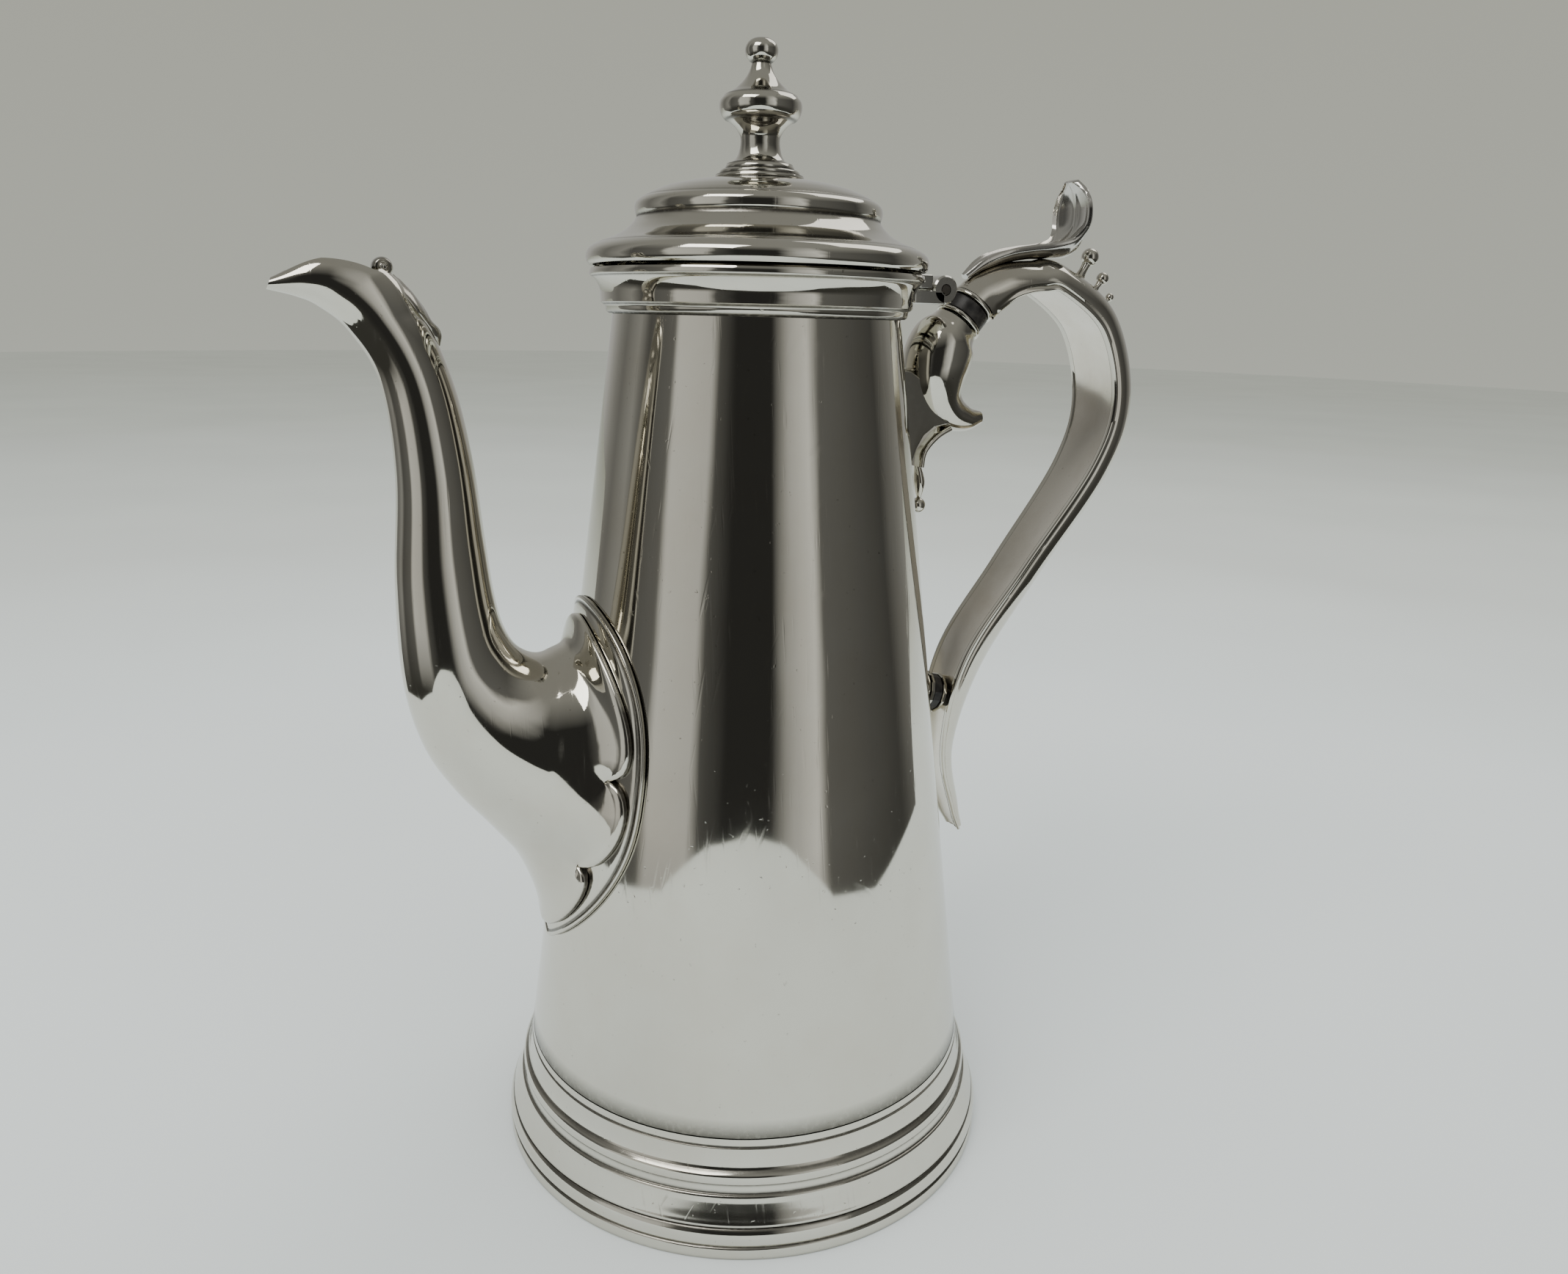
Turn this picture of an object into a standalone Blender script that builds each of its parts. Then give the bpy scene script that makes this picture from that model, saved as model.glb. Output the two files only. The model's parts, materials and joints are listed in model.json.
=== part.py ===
"""A silver coffee pot of lighthouse form, as an assembly of its separate pieces.

Sizes are in millimetres and become metres where a mesh is made. +Z is up, the spout points along -X and the
handle along +X, and the origin is on the body's axis at the surface that the foot stands on.
"""

import math

import bmesh
import bpy
import numpy as np
from mathutils import Matrix, Vector

MM = 0.001
CLEARANCE = 0.3

# Body: a tapered cone of sheet, raised and seamed
BODY_HEIGHT = 198.3
BODY_FOOT_R = 55.0
BODY_MOUTH_R = 29.4
BODY_WALL = 1.1
BASE_DISC_Z = 1.2
BASE_DISC_THICK = 1.1

# Foot moulding, which continues the cone below the body and has a tongue up inside it
FOOT_HEIGHT = 24.6
FOOT_TONGUE = 3.0
FOOT_WALL = 1.0

# Strainer holes through the body wall behind the spout
STRAINER_HOLE_R = 1.6
STRAINER_PITCH = 6.2
STRAINER_Z = 92.0

# Lid, hinged at the back
LID_GAP = 0.5
LID_WALL = 0.9
LID_EDGE_R = 35.9
LID_STUD_HOLE_R = 2.2
BEZEL_DEPTH = 4.6
BEZEL_WALL = 0.9
BEZEL_PLAY = 0.7
STUD_R = 1.8
STUD_LENGTH = 6.0
NUT_R = 3.6
NUT_THICK = 2.2
WASHER_R = 4.4
WASHER_THICK = 0.7

# Hinge
HINGE_HALF_WIDTH = 8.0
LID_KNUCKLE_HALF_WIDTH = 2.8
KNUCKLE_R = 3.1
HINGE_PIN_R = 1.1
PIN_PLAY = 0.1
HINGE_REACH = 6.1
HINGE_DROP = 2.1

# Spout, shield and crest
SPOUT_WALL = 1.3
SHIELD_THICK = 1.0
SHIELD_HALF_WIDTH = 27.0
SHIELD_TOP_Z = 131.0
SHIELD_BOTTOM_Z = 53.5
SHIELD_PORT_R = 12.0
FLANGE_THICK = 1.1
FLANGE_TOP_Z = SHIELD_TOP_Z - 3.5
FLANGE_BOTTOM_Z = SHIELD_BOTTOM_Z + 4.0

# Handle and its joints
HANDLE_WALL = 1.2
HANDLE_STRIP = 0.9
TOP_JOINT_R = 5.3
TOP_JOINT_TILT = 50.0
TOP_JOINT_BACK = 2.6
TOP_JOINT_DOWN = 2.1
RING_THICK = 1.0
INSULATOR_LENGTH = 3.4
SPIGOT_R = 3.0
SPIGOT_LENGTH = 4.6
CROSS_PIN_R = 0.7
ROUND_EDGE = 48.0
FLAT_EDGE = 12.0
HANDLE_OPENING = 0.25
LOW_JOINT_DROP = 100.3
LOW_JOINT_R = 5.0
LOW_SPIGOT = 2.0
LOW_INSULATOR_LENGTH = 2.0

SEGMENTS = 40
SMALL_SEGMENTS = 14

SILVER = (0.80, 0.78, 0.73)
OLD_SILVER = (0.52, 0.50, 0.46)
BLACK = (0.012, 0.011, 0.011)


# Making meshes -----------------------------------------------------------------------------------------------

def clear_scene():
    for thing in list(bpy.data.objects):
        bpy.data.objects.remove(thing, do_unlink=True)


def finish_for(name, colour, roughness, metallic):
    material = bpy.data.materials.new(name)
    material.use_nodes = True
    shader = material.node_tree.nodes["Principled BSDF"]
    shader.inputs["Base Color"].default_value = (*colour, 1.0)
    shader.inputs["Roughness"].default_value = roughness
    shader.inputs["Metallic"].default_value = metallic
    return material


def piece(name, shape, colour=SILVER, roughness=0.15, metallic=1.0, pivot=(0, 0, 0)):
    """Turns a bmesh in millimetres into a named object about its pivot, with its faces pointing out."""
    bmesh.ops.remove_doubles(shape, verts=shape.verts, dist=0.0005)
    bmesh.ops.recalc_face_normals(shape, faces=shape.faces)
    bmesh.ops.translate(shape, verts=shape.verts, vec=-Vector(pivot))
    bmesh.ops.scale(shape, vec=(MM, MM, MM), verts=shape.verts)
    mesh = bpy.data.meshes.new(name)
    shape.to_mesh(mesh)
    shape.free()
    mesh.shade_smooth()
    mesh.set_sharp_from_angle(angle=math.radians(35))
    thing = bpy.data.objects.new(name, mesh)
    thing.location = Vector(pivot) * MM
    bpy.context.scene.collection.objects.link(thing)
    if colour is not None:
        mesh.materials.append(finish_for(name, colour, roughness, metallic))
    return thing


def as_cutter(thing):
    thing.hide_render = True
    thing.display_type = "WIRE"
    return thing


def combine(thing, other, operation):
    step = thing.modifiers.new(other.name, "BOOLEAN")
    step.operation = operation
    step.solver = "EXACT"
    step.object = as_cutter(other)


def smooth_curve(knots, count):
    """Points along a smooth curve through the knots (Catmull-Rom), spaced evenly along its parameter."""
    knots = np.array(knots, float)
    padded = np.vstack([2 * knots[0] - knots[1], knots, 2 * knots[-1] - knots[-2]])
    found = []
    for s in np.linspace(0, len(knots) - 1, count):
        i = min(int(s), len(knots) - 2)
        t = s - i
        a, b, c, d = padded[i:i + 4]
        found.append(0.5 * (2 * b + (c - a) * t + (2 * a - 5 * b + 4 * c - d) * t ** 2
                            + (3 * b - a - 3 * c + d) * t ** 3))
    return np.array(found)


def arc(centre, radius, start, end, count):
    """Points of a round stretch of a profile; angles in degrees from the outward direction."""
    angles = np.radians(np.linspace(start, end, count))
    return [(centre[0] + radius * math.cos(a), centre[1] + radius * math.sin(a)) for a in angles]


def turned(profile, centre=(0, 0, 0), axis=(0, 0, 1), segments=SEGMENTS):
    """A closed profile of (radius, height) points turned about an axis."""
    shape = bmesh.new()
    corners = [shape.verts.new((r, 0, z)) for r, z in profile]
    edges = [shape.edges.new((corners[i], corners[(i + 1) % len(corners)])) for i in range(len(corners))
             if profile[i][0] > 0 or profile[(i + 1) % len(corners)][0] > 0]
    bmesh.ops.spin(shape, geom=edges, cent=(0, 0, 0), axis=(0, 0, 1), angle=2 * math.pi,
                   steps=segments, use_merge=True)
    bmesh.ops.remove_doubles(shape, verts=shape.verts, dist=0.0005)
    turn = Vector((0, 0, 1)).rotation_difference(Vector(axis)).to_matrix().to_4x4()
    bmesh.ops.transform(shape, matrix=Matrix.Translation(centre) @ turn, verts=shape.verts)
    return shape


def lofted(rings):
    """A closed skin through rings of equal point counts, with flat ends."""
    shape = bmesh.new()
    rows = [[shape.verts.new(p) for p in ring] for ring in rings]
    for low, high in zip(rows, rows[1:]):
        for i in range(len(low)):
            j = (i + 1) % len(low)
            shape.faces.new((low[i], low[j], high[j], high[i]))
    shape.faces.new(rows[0])
    shape.faces.new(rows[-1])
    return shape


def slab(outline, half_width, offset=0.0):
    """An outline of (x, z) points made solid between two values of y."""
    return lofted([[(x, offset + side * half_width, z) for x, z in outline] for side in (-1, 1)])


def drill(thing, start, direction, radius, depth, name):
    start, direction = Vector(start), Vector(direction).normalized()
    cutter = piece(name, turned([(0, 0), (radius, 0), (radius, depth), (0, depth)],
                                start, direction, 12), None)
    combine(thing, cutter, "DIFFERENCE")


# Places on the body's cone -----------------------------------------------------------------------------------

def body_radius(z):
    return BODY_FOOT_R + (BODY_MOUTH_R - BODY_FOOT_R) * z / BODY_HEIGHT


def beside_body(out, drop):
    """A point in the plane of symmetry, given as its distance from the body wall and below the mouth."""
    z = BODY_HEIGHT - drop
    return body_radius(z) + out, z


def on_wall(arc_length, z, proud, side=-1):
    """A point at an arc length from the spout's (-1) or handle's (+1) centre line, proud of the wall."""
    angle = arc_length / body_radius(z)
    r = body_radius(z) + proud
    return side * r * math.cos(angle), r * math.sin(angle), z


def wall_plate(half_width, low_z, high_z, inner, outer, rows, columns, side=-1):
    """A thin plate lying on the cone, half_width(z) wide on each side of its centre line."""
    heights = (low_z + high_z) / 2 - (high_z - low_z) / 2 * np.cos(np.linspace(0.05, math.pi - 0.05, rows))
    rings = []
    for z in heights:
        width = max(half_width(z), 0.8)
        across = np.linspace(-width, width, columns)
        ring = [on_wall(a, z, outer, side) for a in across]
        ring += [on_wall(a, z, inner, side) for a in across[::-1]]
        rings.append(ring)
    return lofted(rings)


def cone_cutter(name, proud):
    """The body's outside, grown by an amount, to fit other pieces to."""
    low, high = -20.0, BODY_HEIGHT + 20.0
    return piece(name, turned([(0, low), (body_radius(low) + proud, low), (body_radius(high) + proud, high),
                               (0, high)], segments=2 * SEGMENTS), None)


# Body, base and foot -----------------------------------------------------------------------------------------

def make_body():
    low = FOOT_HEIGHT + CLEARANCE
    wall = [(body_radius(low), low), (body_radius(BODY_HEIGHT), BODY_HEIGHT)]
    inside = [(r - BODY_WALL, z) for r, z in reversed(wall)]
    body = piece("body_shell", turned(wall + inside))
    for row in (-2, -1, 0, 1, 2):
        count = 4 if row % 2 else 3
        z = STRAINER_Z + row * STRAINER_PITCH * math.sqrt(3) / 2
        for k in range(count):
            across = (k - (count - 1) / 2) * STRAINER_PITCH
            if abs(row) == 2 and abs(across) > STRAINER_PITCH:
                continue
            start = (-body_radius(z) - BODY_WALL, across, z)
            drill(body, start, (1, 0, 0), STRAINER_HOLE_R, 4 * BODY_WALL, f"strainer_hole_{row}_{k}")


def foot_inside(z):
    """The radius of the foot's inside, which its tongue shares, at a height."""
    return body_radius(z) - BODY_WALL - CLEARANCE - FOOT_WALL


def make_base():
    top = BASE_DISC_Z + BASE_DISC_THICK
    edge = foot_inside(top) - CLEARANCE
    piece("base_disc", turned([(0, BASE_DISC_Z), (edge, BASE_DISC_Z), (edge, top), (0, top)]), OLD_SILVER, 0.3)


# The foot's outside as (height, how far proud of the cone): fillet, roll, flared band, groove, ridge, cove
FOOT_PROFILE = [(0.0, 2.7), (0.7, 3.0), (2.6, 3.1), (3.0, 2.7), (3.5, 3.15), (4.3, 3.4), (5.1, 3.5), (5.9, 3.4),
                (6.7, 3.0), (7.0, 2.6), (7.4, 2.9), (9.0, 2.4), (11.5, 1.8), (13.0, 1.55), (13.3, 1.05),
                (15.2, 0.95), (15.6, 1.25), (16.5, 1.35), (17.4, 1.2), (17.9, 0.65), (20.3, 0.15), (22.4, 0.1),
                (22.8, -0.2), (23.2, 0.0)]


def make_foot():
    """A drawn moulding that carries the cone down to the table, with a tongue up inside the body."""
    outer = [(body_radius(z) + proud, z) for z, proud in FOOT_PROFILE + [(FOOT_HEIGHT, 0.0)]]
    tongue_top = FOOT_HEIGHT + FOOT_TONGUE
    step = [(body_radius(z) - BODY_WALL - CLEARANCE, z) for z in (FOOT_HEIGHT, tongue_top)]
    inner = [(foot_inside(z), z) for z in (tongue_top, 0)]
    piece("foot_moulding", turned(outer + step + inner))


# Rim ---------------------------------------------------------------------------------------------------------

COLLAR_PROFILE = [(-0.3, 5.2), (0.0, 5.6), (1.2, 5.65), (1.6, 5.1), (2.6, 3.9), (4.5, 3.05), (6.6, 2.7),
                  (7.0, 2.0), (7.4, 1.5), (8.1, 1.35), (8.8, 0.7)]


def collar_radius(drop):
    """How far the rim collar stands out, at a distance below the mouth."""
    drops, prouds = zip(*COLLAR_PROFILE)
    return body_radius(BODY_HEIGHT - drop) + float(np.interp(drop, drops, prouds))


def make_collar():
    outer = [(collar_radius(drop), BODY_HEIGHT - drop) for drop, _ in COLLAR_PROFILE]
    top, bottom = outer[0][1], outer[-1][1]
    inner = [(body_radius(bottom) + CLEARANCE, bottom), (body_radius(top) + CLEARANCE, top)]
    piece("rim_collar", turned(outer + inner))


# Lid ---------------------------------------------------------------------------------------------------------

RIM_Z = BODY_HEIGHT - COLLAR_PROFILE[0][0]
LID_Z = RIM_Z + LID_GAP
EDGE_BULGE = 1.9


def lid_outline():
    """The lid's outside from its edge inwards: rolled edge, cove, step, roll and shallow dome."""
    edge = [(LID_EDGE_R - 0.6, LID_Z)]
    edge += arc((LID_EDGE_R - EDGE_BULGE, LID_Z + 1.9), EDGE_BULGE, -40, 62, 4)
    cove = [(LID_EDGE_R - 2.6, LID_Z + 4.5), (LID_EDGE_R - 3.4, LID_Z + 5.0), (LID_EDGE_R - 5.6, LID_Z + 5.8),
            (LID_EDGE_R - 8.0, LID_Z + 7.1), (LID_EDGE_R - 9.6, LID_Z + 8.7)]
    roll = arc((LID_EDGE_R - 12.2, LID_Z + 11.2), 2.0, -35, 65, 4)
    dome = [(22.0, LID_Z + 14.1), (17.5, LID_Z + 15.8), (12.0, LID_Z + 17.0)]
    return edge + cove + roll + dome


def inset_profile(outline, wall):
    """The same outline moved inwards by the wall's thickness."""
    points = np.array(outline)
    ahead = np.roll(points, -1, axis=0) - points
    ahead[-1] = ahead[-2]
    behind = points - np.roll(points, 1, axis=0)
    behind[0] = ahead[0]
    along = ahead / np.linalg.norm(ahead, axis=1)[:, None] + behind / np.linalg.norm(behind, axis=1)[:, None]
    along /= np.linalg.norm(along, axis=1)[:, None]
    return [(r - wall * dz, z + wall * dr) for (r, z), (dr, dz) in zip(outline, along)]


def make_lid():
    outline = lid_outline()
    centre_z = outline[-1][1] + 0.35
    outer = outline + [(LID_STUD_HOLE_R, centre_z)]
    inner = [(r, max(z, LID_Z)) for r, z in inset_profile(outline, LID_WALL)[1:]]
    inner += [(LID_STUD_HOLE_R, centre_z - LID_WALL)]
    piece("lid_shell", turned(outer + inner[::-1]), pivot=HINGE)


def make_bezel():
    """A ring under the lid that drops into the body's mouth."""
    outer = body_radius(BODY_HEIGHT) - BODY_WALL - BEZEL_PLAY
    inner = outer - BEZEL_WALL
    low = BODY_HEIGHT - BEZEL_DEPTH
    high = LID_Z + 4.0
    piece("lid_bezel", turned([(outer, low), (outer, high), (inner, high), (inner, low)]), pivot=HINGE)


def lid_crown_z():
    return lid_outline()[-1][1] + 0.35


def make_finial():
    """A turned finial with its own stud, which passes through the lid."""
    foot = lid_crown_z() + CLEARANCE
    ball_z = foot + 24.4
    outline = [(9.2, foot), (9.2, foot + 0.8), (8.1, foot + 1.2), (7.9, foot + 1.9), (6.8, foot + 2.3),
               (6.7, foot + 3.0), (5.2, foot + 3.5), (4.4, foot + 4.8), (4.05, foot + 6.8), (4.3, foot + 8.4),
               (5.5, foot + 10.0), (7.4, foot + 11.2), (8.2, foot + 12.3), (8.5, foot + 13.8),
               (8.1, foot + 15.1), (7.2, foot + 15.8), (7.1, foot + 16.3), (5.4, foot + 17.2),
               (3.7, foot + 18.6), (2.5, foot + 20.2), (1.9, foot + 21.9)]
    ball = [(3.4 * math.cos(a), ball_z + 2.5 * math.sin(a)) for a in np.radians([-35, -12, 12, 38, 66, 90])]
    ball[-1] = (0, ball[-1][1])
    stud_end = lid_crown_z() - LID_WALL - STUD_LENGTH
    piece("finial", turned([(0, stud_end), (STUD_R, stud_end), (STUD_R, foot)] + outline + ball,
                           segments=SMALL_SEGMENTS + 4), pivot=HINGE)


def make_finial_fixing():
    under = lid_crown_z() - LID_WALL
    bore = STUD_R + CLEARANCE
    top = under - CLEARANCE
    low = top - WASHER_THICK
    piece("finial_washer", turned([(bore, low), (WASHER_R, low), (WASHER_R, top), (bore, top)],
                                  segments=SMALL_SEGMENTS), OLD_SILVER, 0.3, pivot=HINGE)
    top = low - CLEARANCE
    low = top - NUT_THICK
    piece("finial_nut", turned([(bore, low), (NUT_R, low), (NUT_R, top), (bore, top)], segments=6),
          OLD_SILVER, 0.3, pivot=HINGE)


# Hinge -------------------------------------------------------------------------------------------------------

HINGE_X = LID_EDGE_R + HINGE_REACH
HINGE_Z = BODY_HEIGHT - HINGE_DROP
HINGE = (HINGE_X, 0, HINGE_Z)


def make_hinge():
    """A three-knuckle hinge: the body's leaf has the outer two knuckles, the lid's leaf the middle one."""
    slit = HINGE_Z + 0.1
    centre_half = LID_KNUCKLE_HALF_WIDTH
    outer_half = (HINGE_HALF_WIDTH - centre_half - CLEARANCE) / 2
    outer_offset = HINGE_HALF_WIDTH - outer_half

    low = HINGE_Z - KNUCKLE_R
    leaf = piece("hinge_body_leaf", slab([(BODY_MOUTH_R, low), (HINGE_X, low), (HINGE_X, slit - CLEARANCE),
                                          (BODY_MOUTH_R, slit - CLEARANCE)], HINGE_HALF_WIDTH), roughness=0.25)
    collar_outside = collar_radius(HINGE_DROP) + CLEARANCE
    combine(leaf, piece("collar_clearance", turned([(0, low - 5), (collar_outside, low - 5),
                                                    (collar_outside, slit + 5), (0, slit + 5)]), None),
            "DIFFERENCE")
    room = KNUCKLE_R + CLEARANCE
    combine(leaf, piece("lid_knuckle_room", slab([(HINGE_X - room, low - 2), (HINGE_X + room, low - 2),
                                                  (HINGE_X + room, slit + 5), (HINGE_X - room, slit + 5)],
                                                 centre_half + CLEARANCE), None), "DIFFERENCE")
    for side in (-1, 1):
        solid = turned([(0, -outer_half), (KNUCKLE_R, -outer_half), (KNUCKLE_R, outer_half), (0, outer_half)],
                       (HINGE_X, side * outer_offset, HINGE_Z), (0, 1, 0), SMALL_SEGMENTS)
        combine(leaf, piece(f"body_knuckle_{side}", solid, None), "UNION")
    drill(leaf, (HINGE_X, -2 * HINGE_HALF_WIDTH, HINGE_Z), (0, 1, 0), HINGE_PIN_R + PIN_PLAY,
          4 * HINGE_HALF_WIDTH, "body_pin_hole")

    high = HINGE_Z + KNUCKLE_R + 0.2
    step = HINGE_X - KNUCKLE_R - CLEARANCE
    lid_leaf = piece("hinge_lid_leaf", slab([(BODY_MOUTH_R, slit), (step, slit), (step, high + 1.4),
                                             (BODY_MOUTH_R, high + 1.4)], HINGE_HALF_WIDTH), roughness=0.25,
                     pivot=HINGE)
    tongue = slab([(step - 1.0, slit), (HINGE_X, slit), (HINGE_X, HINGE_Z + KNUCKLE_R),
                   (step - 1.0, HINGE_Z + KNUCKLE_R)], centre_half)
    combine(lid_leaf, piece("lid_tongue", tongue, None), "UNION")
    solid = turned([(0, -centre_half), (KNUCKLE_R, -centre_half), (KNUCKLE_R, centre_half), (0, centre_half)],
                   HINGE, (0, 1, 0), SMALL_SEGMENTS)
    combine(lid_leaf, piece("lid_knuckle", solid, None), "UNION")
    lid_outside = LID_EDGE_R + CLEARANCE
    combine(lid_leaf, piece("lid_clearance", turned([(0, low - 5), (lid_outside, low - 5),
                                                     (lid_outside, slit + 20), (0, slit + 20)]), None),
            "DIFFERENCE")
    drill(lid_leaf, (HINGE_X, -2 * HINGE_HALF_WIDTH, HINGE_Z), (0, 1, 0), HINGE_PIN_R + PIN_PLAY,
          4 * HINGE_HALF_WIDTH, "lid_pin_hole")

    piece("hinge_pin", turned([(0, -HINGE_HALF_WIDTH), (HINGE_PIN_R, -HINGE_HALF_WIDTH),
                               (HINGE_PIN_R, HINGE_HALF_WIDTH), (0, HINGE_HALF_WIDTH)],
                              HINGE, (0, 1, 0), 12), OLD_SILVER, 0.35)


# Spout -------------------------------------------------------------------------------------------------------

# Each station: back (out, drop), front (out, drop), half width; from inside the root to the beak
SPOUT_STATIONS = [
    (-1.8, 65.3, -6.0, 147.8, 20.5),
    (0.7, 67.8, -1.1, 143.8, 20.0),
    (3.0, 71.3, 3.4, 134.8, 18.8),
    (5.3, 77.1, 9.1, 124.3, 17.0),
    (9.3, 78.7, 16.7, 115.3, 14.8),
    (14.2, 76.5, 24.7, 106.5, 12.6),
    (17.8, 71.5, 31.7, 96.3, 11.0),
    (20.4, 64.3, 36.8, 82.3, 10.0),
    (23.0, 53.8, 39.8, 62.3, 8.8),
    (26.9, 37.4, 41.3, 40.3, 7.8),
    (32.1, 21.8, 45.2, 22.8, 7.0),
    (39.0, 9.3, 51.4, 13.3, 6.2),
    (46.5, 3.3, 56.9, 9.0, 5.3),
    (56.4, 1.7, 60.8, 7.4, 4.0),
    (65.3, 5.1, 65.8, 6.1, 1.1),
]
MOUTH_STATION = 12.0
MOUTH_LIFT = 4.0


def spout_rings(inset, count, points, open_mouth=False):
    """Oval sections along the spout, all on one smooth curve; an inset makes its channel."""
    rings = []
    last = len(SPOUT_STATIONS) - 1
    stations = smooth_curve(SPOUT_STATIONS, count)
    for step, (back_out, back_drop, front_out, front_drop, width) in enumerate(stations):
        station = last * step / (count - 1)
        bx, bz = beside_body(back_out, back_drop)
        fx, fz = beside_body(front_out, front_drop)
        back, front = Vector((-bx, bz)), Vector((-fx, fz))
        span = (front - back).length
        toward = (front - back) / span
        take = min(inset, 0.3 * span)
        back, front = back + toward * take, front - toward * take
        width = max(width - inset, 0.3 * width)
        if open_mouth and station >= MOUTH_STATION:
            back += Vector((0, MOUTH_LIFT))
        middle, half = (back + front) / 2, (front - back) / 2
        rings.append([(middle.x + half.x * math.cos(a), width * math.sin(a), middle.y + half.y * math.cos(a))
                      for a in np.linspace(0, 2 * math.pi, points, endpoint=False)])
    return rings


def flange_half_width(z):
    """Half the width of the spout's foot on the shield: three lobes with cusps between them."""
    cusps = [(FLANGE_TOP_Z, 0.0, 0.0), (FLANGE_TOP_Z - 30.5, 18.6, 11.0), (FLANGE_BOTTOM_Z + 18.5, 13.2, 8.2),
             (FLANGE_BOTTOM_Z, 0.0, 7.0)]
    for (high, wide, _), (low, narrow, bulge) in zip(cusps, cusps[1:]):
        if low <= z <= high:
            t = (high - z) / (high - low)
            return wide + (narrow - wide) * t + bulge * math.sqrt(max(1 - (2 * t - 1) ** 2, 0))
    return 0.0


def shield_half_width(z):
    """Half the width of the shield: a pointed arch above, a rounder point below."""
    middle = SHIELD_BOTTOM_Z + 0.5 * (SHIELD_TOP_Z - SHIELD_BOTTOM_Z)
    if z > middle:
        t = (z - middle) / (SHIELD_TOP_Z - middle)
        return SHIELD_HALF_WIDTH * math.sqrt(max(1 - t ** 2.3, 0))
    t = (middle - z) / (middle - SHIELD_BOTTOM_Z)
    return SHIELD_HALF_WIDTH * max(1 - t ** 2.2, 0) ** 0.85


def make_spout():
    flange_inside = CLEARANCE + SHIELD_THICK + CLEARANCE
    spout = piece("spout", lofted(spout_rings(0.0, 29, 18)))
    flange = wall_plate(flange_half_width, FLANGE_BOTTOM_Z, FLANGE_TOP_Z, flange_inside - 0.6,
                        flange_inside + FLANGE_THICK, 26, 7)
    combine(spout, piece("spout_flange", flange, None), "UNION")
    combine(spout, cone_cutter("shield_surface", flange_inside), "DIFFERENCE")
    channel = spout_rings(SPOUT_WALL, 24, 12, True)
    into_body = [(x + BODY_WALL + 10.0, y, z) for x, y, z in channel[0]]
    combine(spout, piece("spout_channel", lofted([into_body] + channel), None), "DIFFERENCE")

    shield = piece("spout_shield", wall_plate(shield_half_width, SHIELD_BOTTOM_Z, SHIELD_TOP_Z, CLEARANCE,
                                              CLEARANCE + SHIELD_THICK, 24, 9))
    drill(shield, (-2 * BODY_FOOT_R, 0, STRAINER_Z), (1, 0, 0), SHIELD_PORT_R, 2 * BODY_FOOT_R, "shield_port")


def make_crest():
    """A leaf laid along the spout's back, curling into a small scroll behind the mouth."""
    stations = smooth_curve(SPOUT_STATIONS, 141)
    knots = []
    for station, width, height in ((10.25, 1.0, 0.9), (10.45, 3.4, 1.3), (10.8, 4.4, 1.1), (11.2, 3.6, 1.0),
                                   (11.6, 2.4, 1.1), (11.85, 1.2, 1.2)):
        s = stations[int(round(station * 10))]
        knots.append((s[0], s[1], s[2], s[3], width, height))
    rings = []
    for back_out, back_drop, front_out, front_drop, width, height in smooth_curve(knots, 14):
        bx, bz = beside_body(back_out, back_drop)
        fx, fz = beside_body(front_out, front_drop)
        up = (Vector((-bx, bz)) - Vector((-fx, fz))).normalized()
        base = Vector((-bx, bz)) + up * CLEARANCE
        ring = []
        for a in np.linspace(0, math.pi, 7):
            lift = height * math.sin(a)
            ring.append((base.x + up.x * lift, width * math.cos(a), base.y + up.y * lift))
        rings.append(ring)
    piece("spout_crest", lofted(rings), OLD_SILVER, 0.25)
    s = stations[int(round(12.0 * 10))]
    bx, bz = beside_body(s[0], s[1])
    radius = 1.35
    centre = (-bx, 0, bz + radius + CLEARANCE)
    length = 1.5 * radius
    rounded = [(r, 1.5 * h) for r, h in arc((0, 0), radius, -60, 60, 5)]
    piece("spout_crest_scroll", turned([(0, -length)] + rounded + [(0, length)], centre, (0, 1, 0), 14),
          OLD_SILVER, 0.25)


# Handle ------------------------------------------------------------------------------------------------------

# Centre line from the upper joint to the tail: (out, drop), width and thickness of the section
HANDLE_STATIONS = [
    (27.2, 2.3, 10.8, 9.6),
    (33.2, -0.7, 12.2, 8.0),
    (40.5, -2.0, 13.8, 7.3),
    (47.6, -1.5, 15.4, 7.8),
    (60.3, 8.0, 16.5, 9.0),
    (64.2, 26.3, 16.5, 9.6),
    (56.8, 44.3, 15.6, 9.3),
    (35.2, 69.3, 13.8, 8.7),
    (17.4, 91.0, 12.6, 9.1),
    (9.3, 112.3, 10.4, 5.6),
    (10.8, 128.9, 8.4, 3.8),
    (12.6, 136.0, 5.4, 2.4),
]


def along(angle):
    return Vector((math.cos(math.radians(angle)), 0, math.sin(math.radians(angle))))


def top_joint():
    """The upper joint: the point where the handle begins, and the direction it leaves in."""
    x, z = beside_body(HANDLE_STATIONS[0][0] - TOP_JOINT_BACK, HANDLE_STATIONS[0][1] + TOP_JOINT_DOWN)
    return Vector((x, 0, z)), along(TOP_JOINT_TILT)


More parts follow.
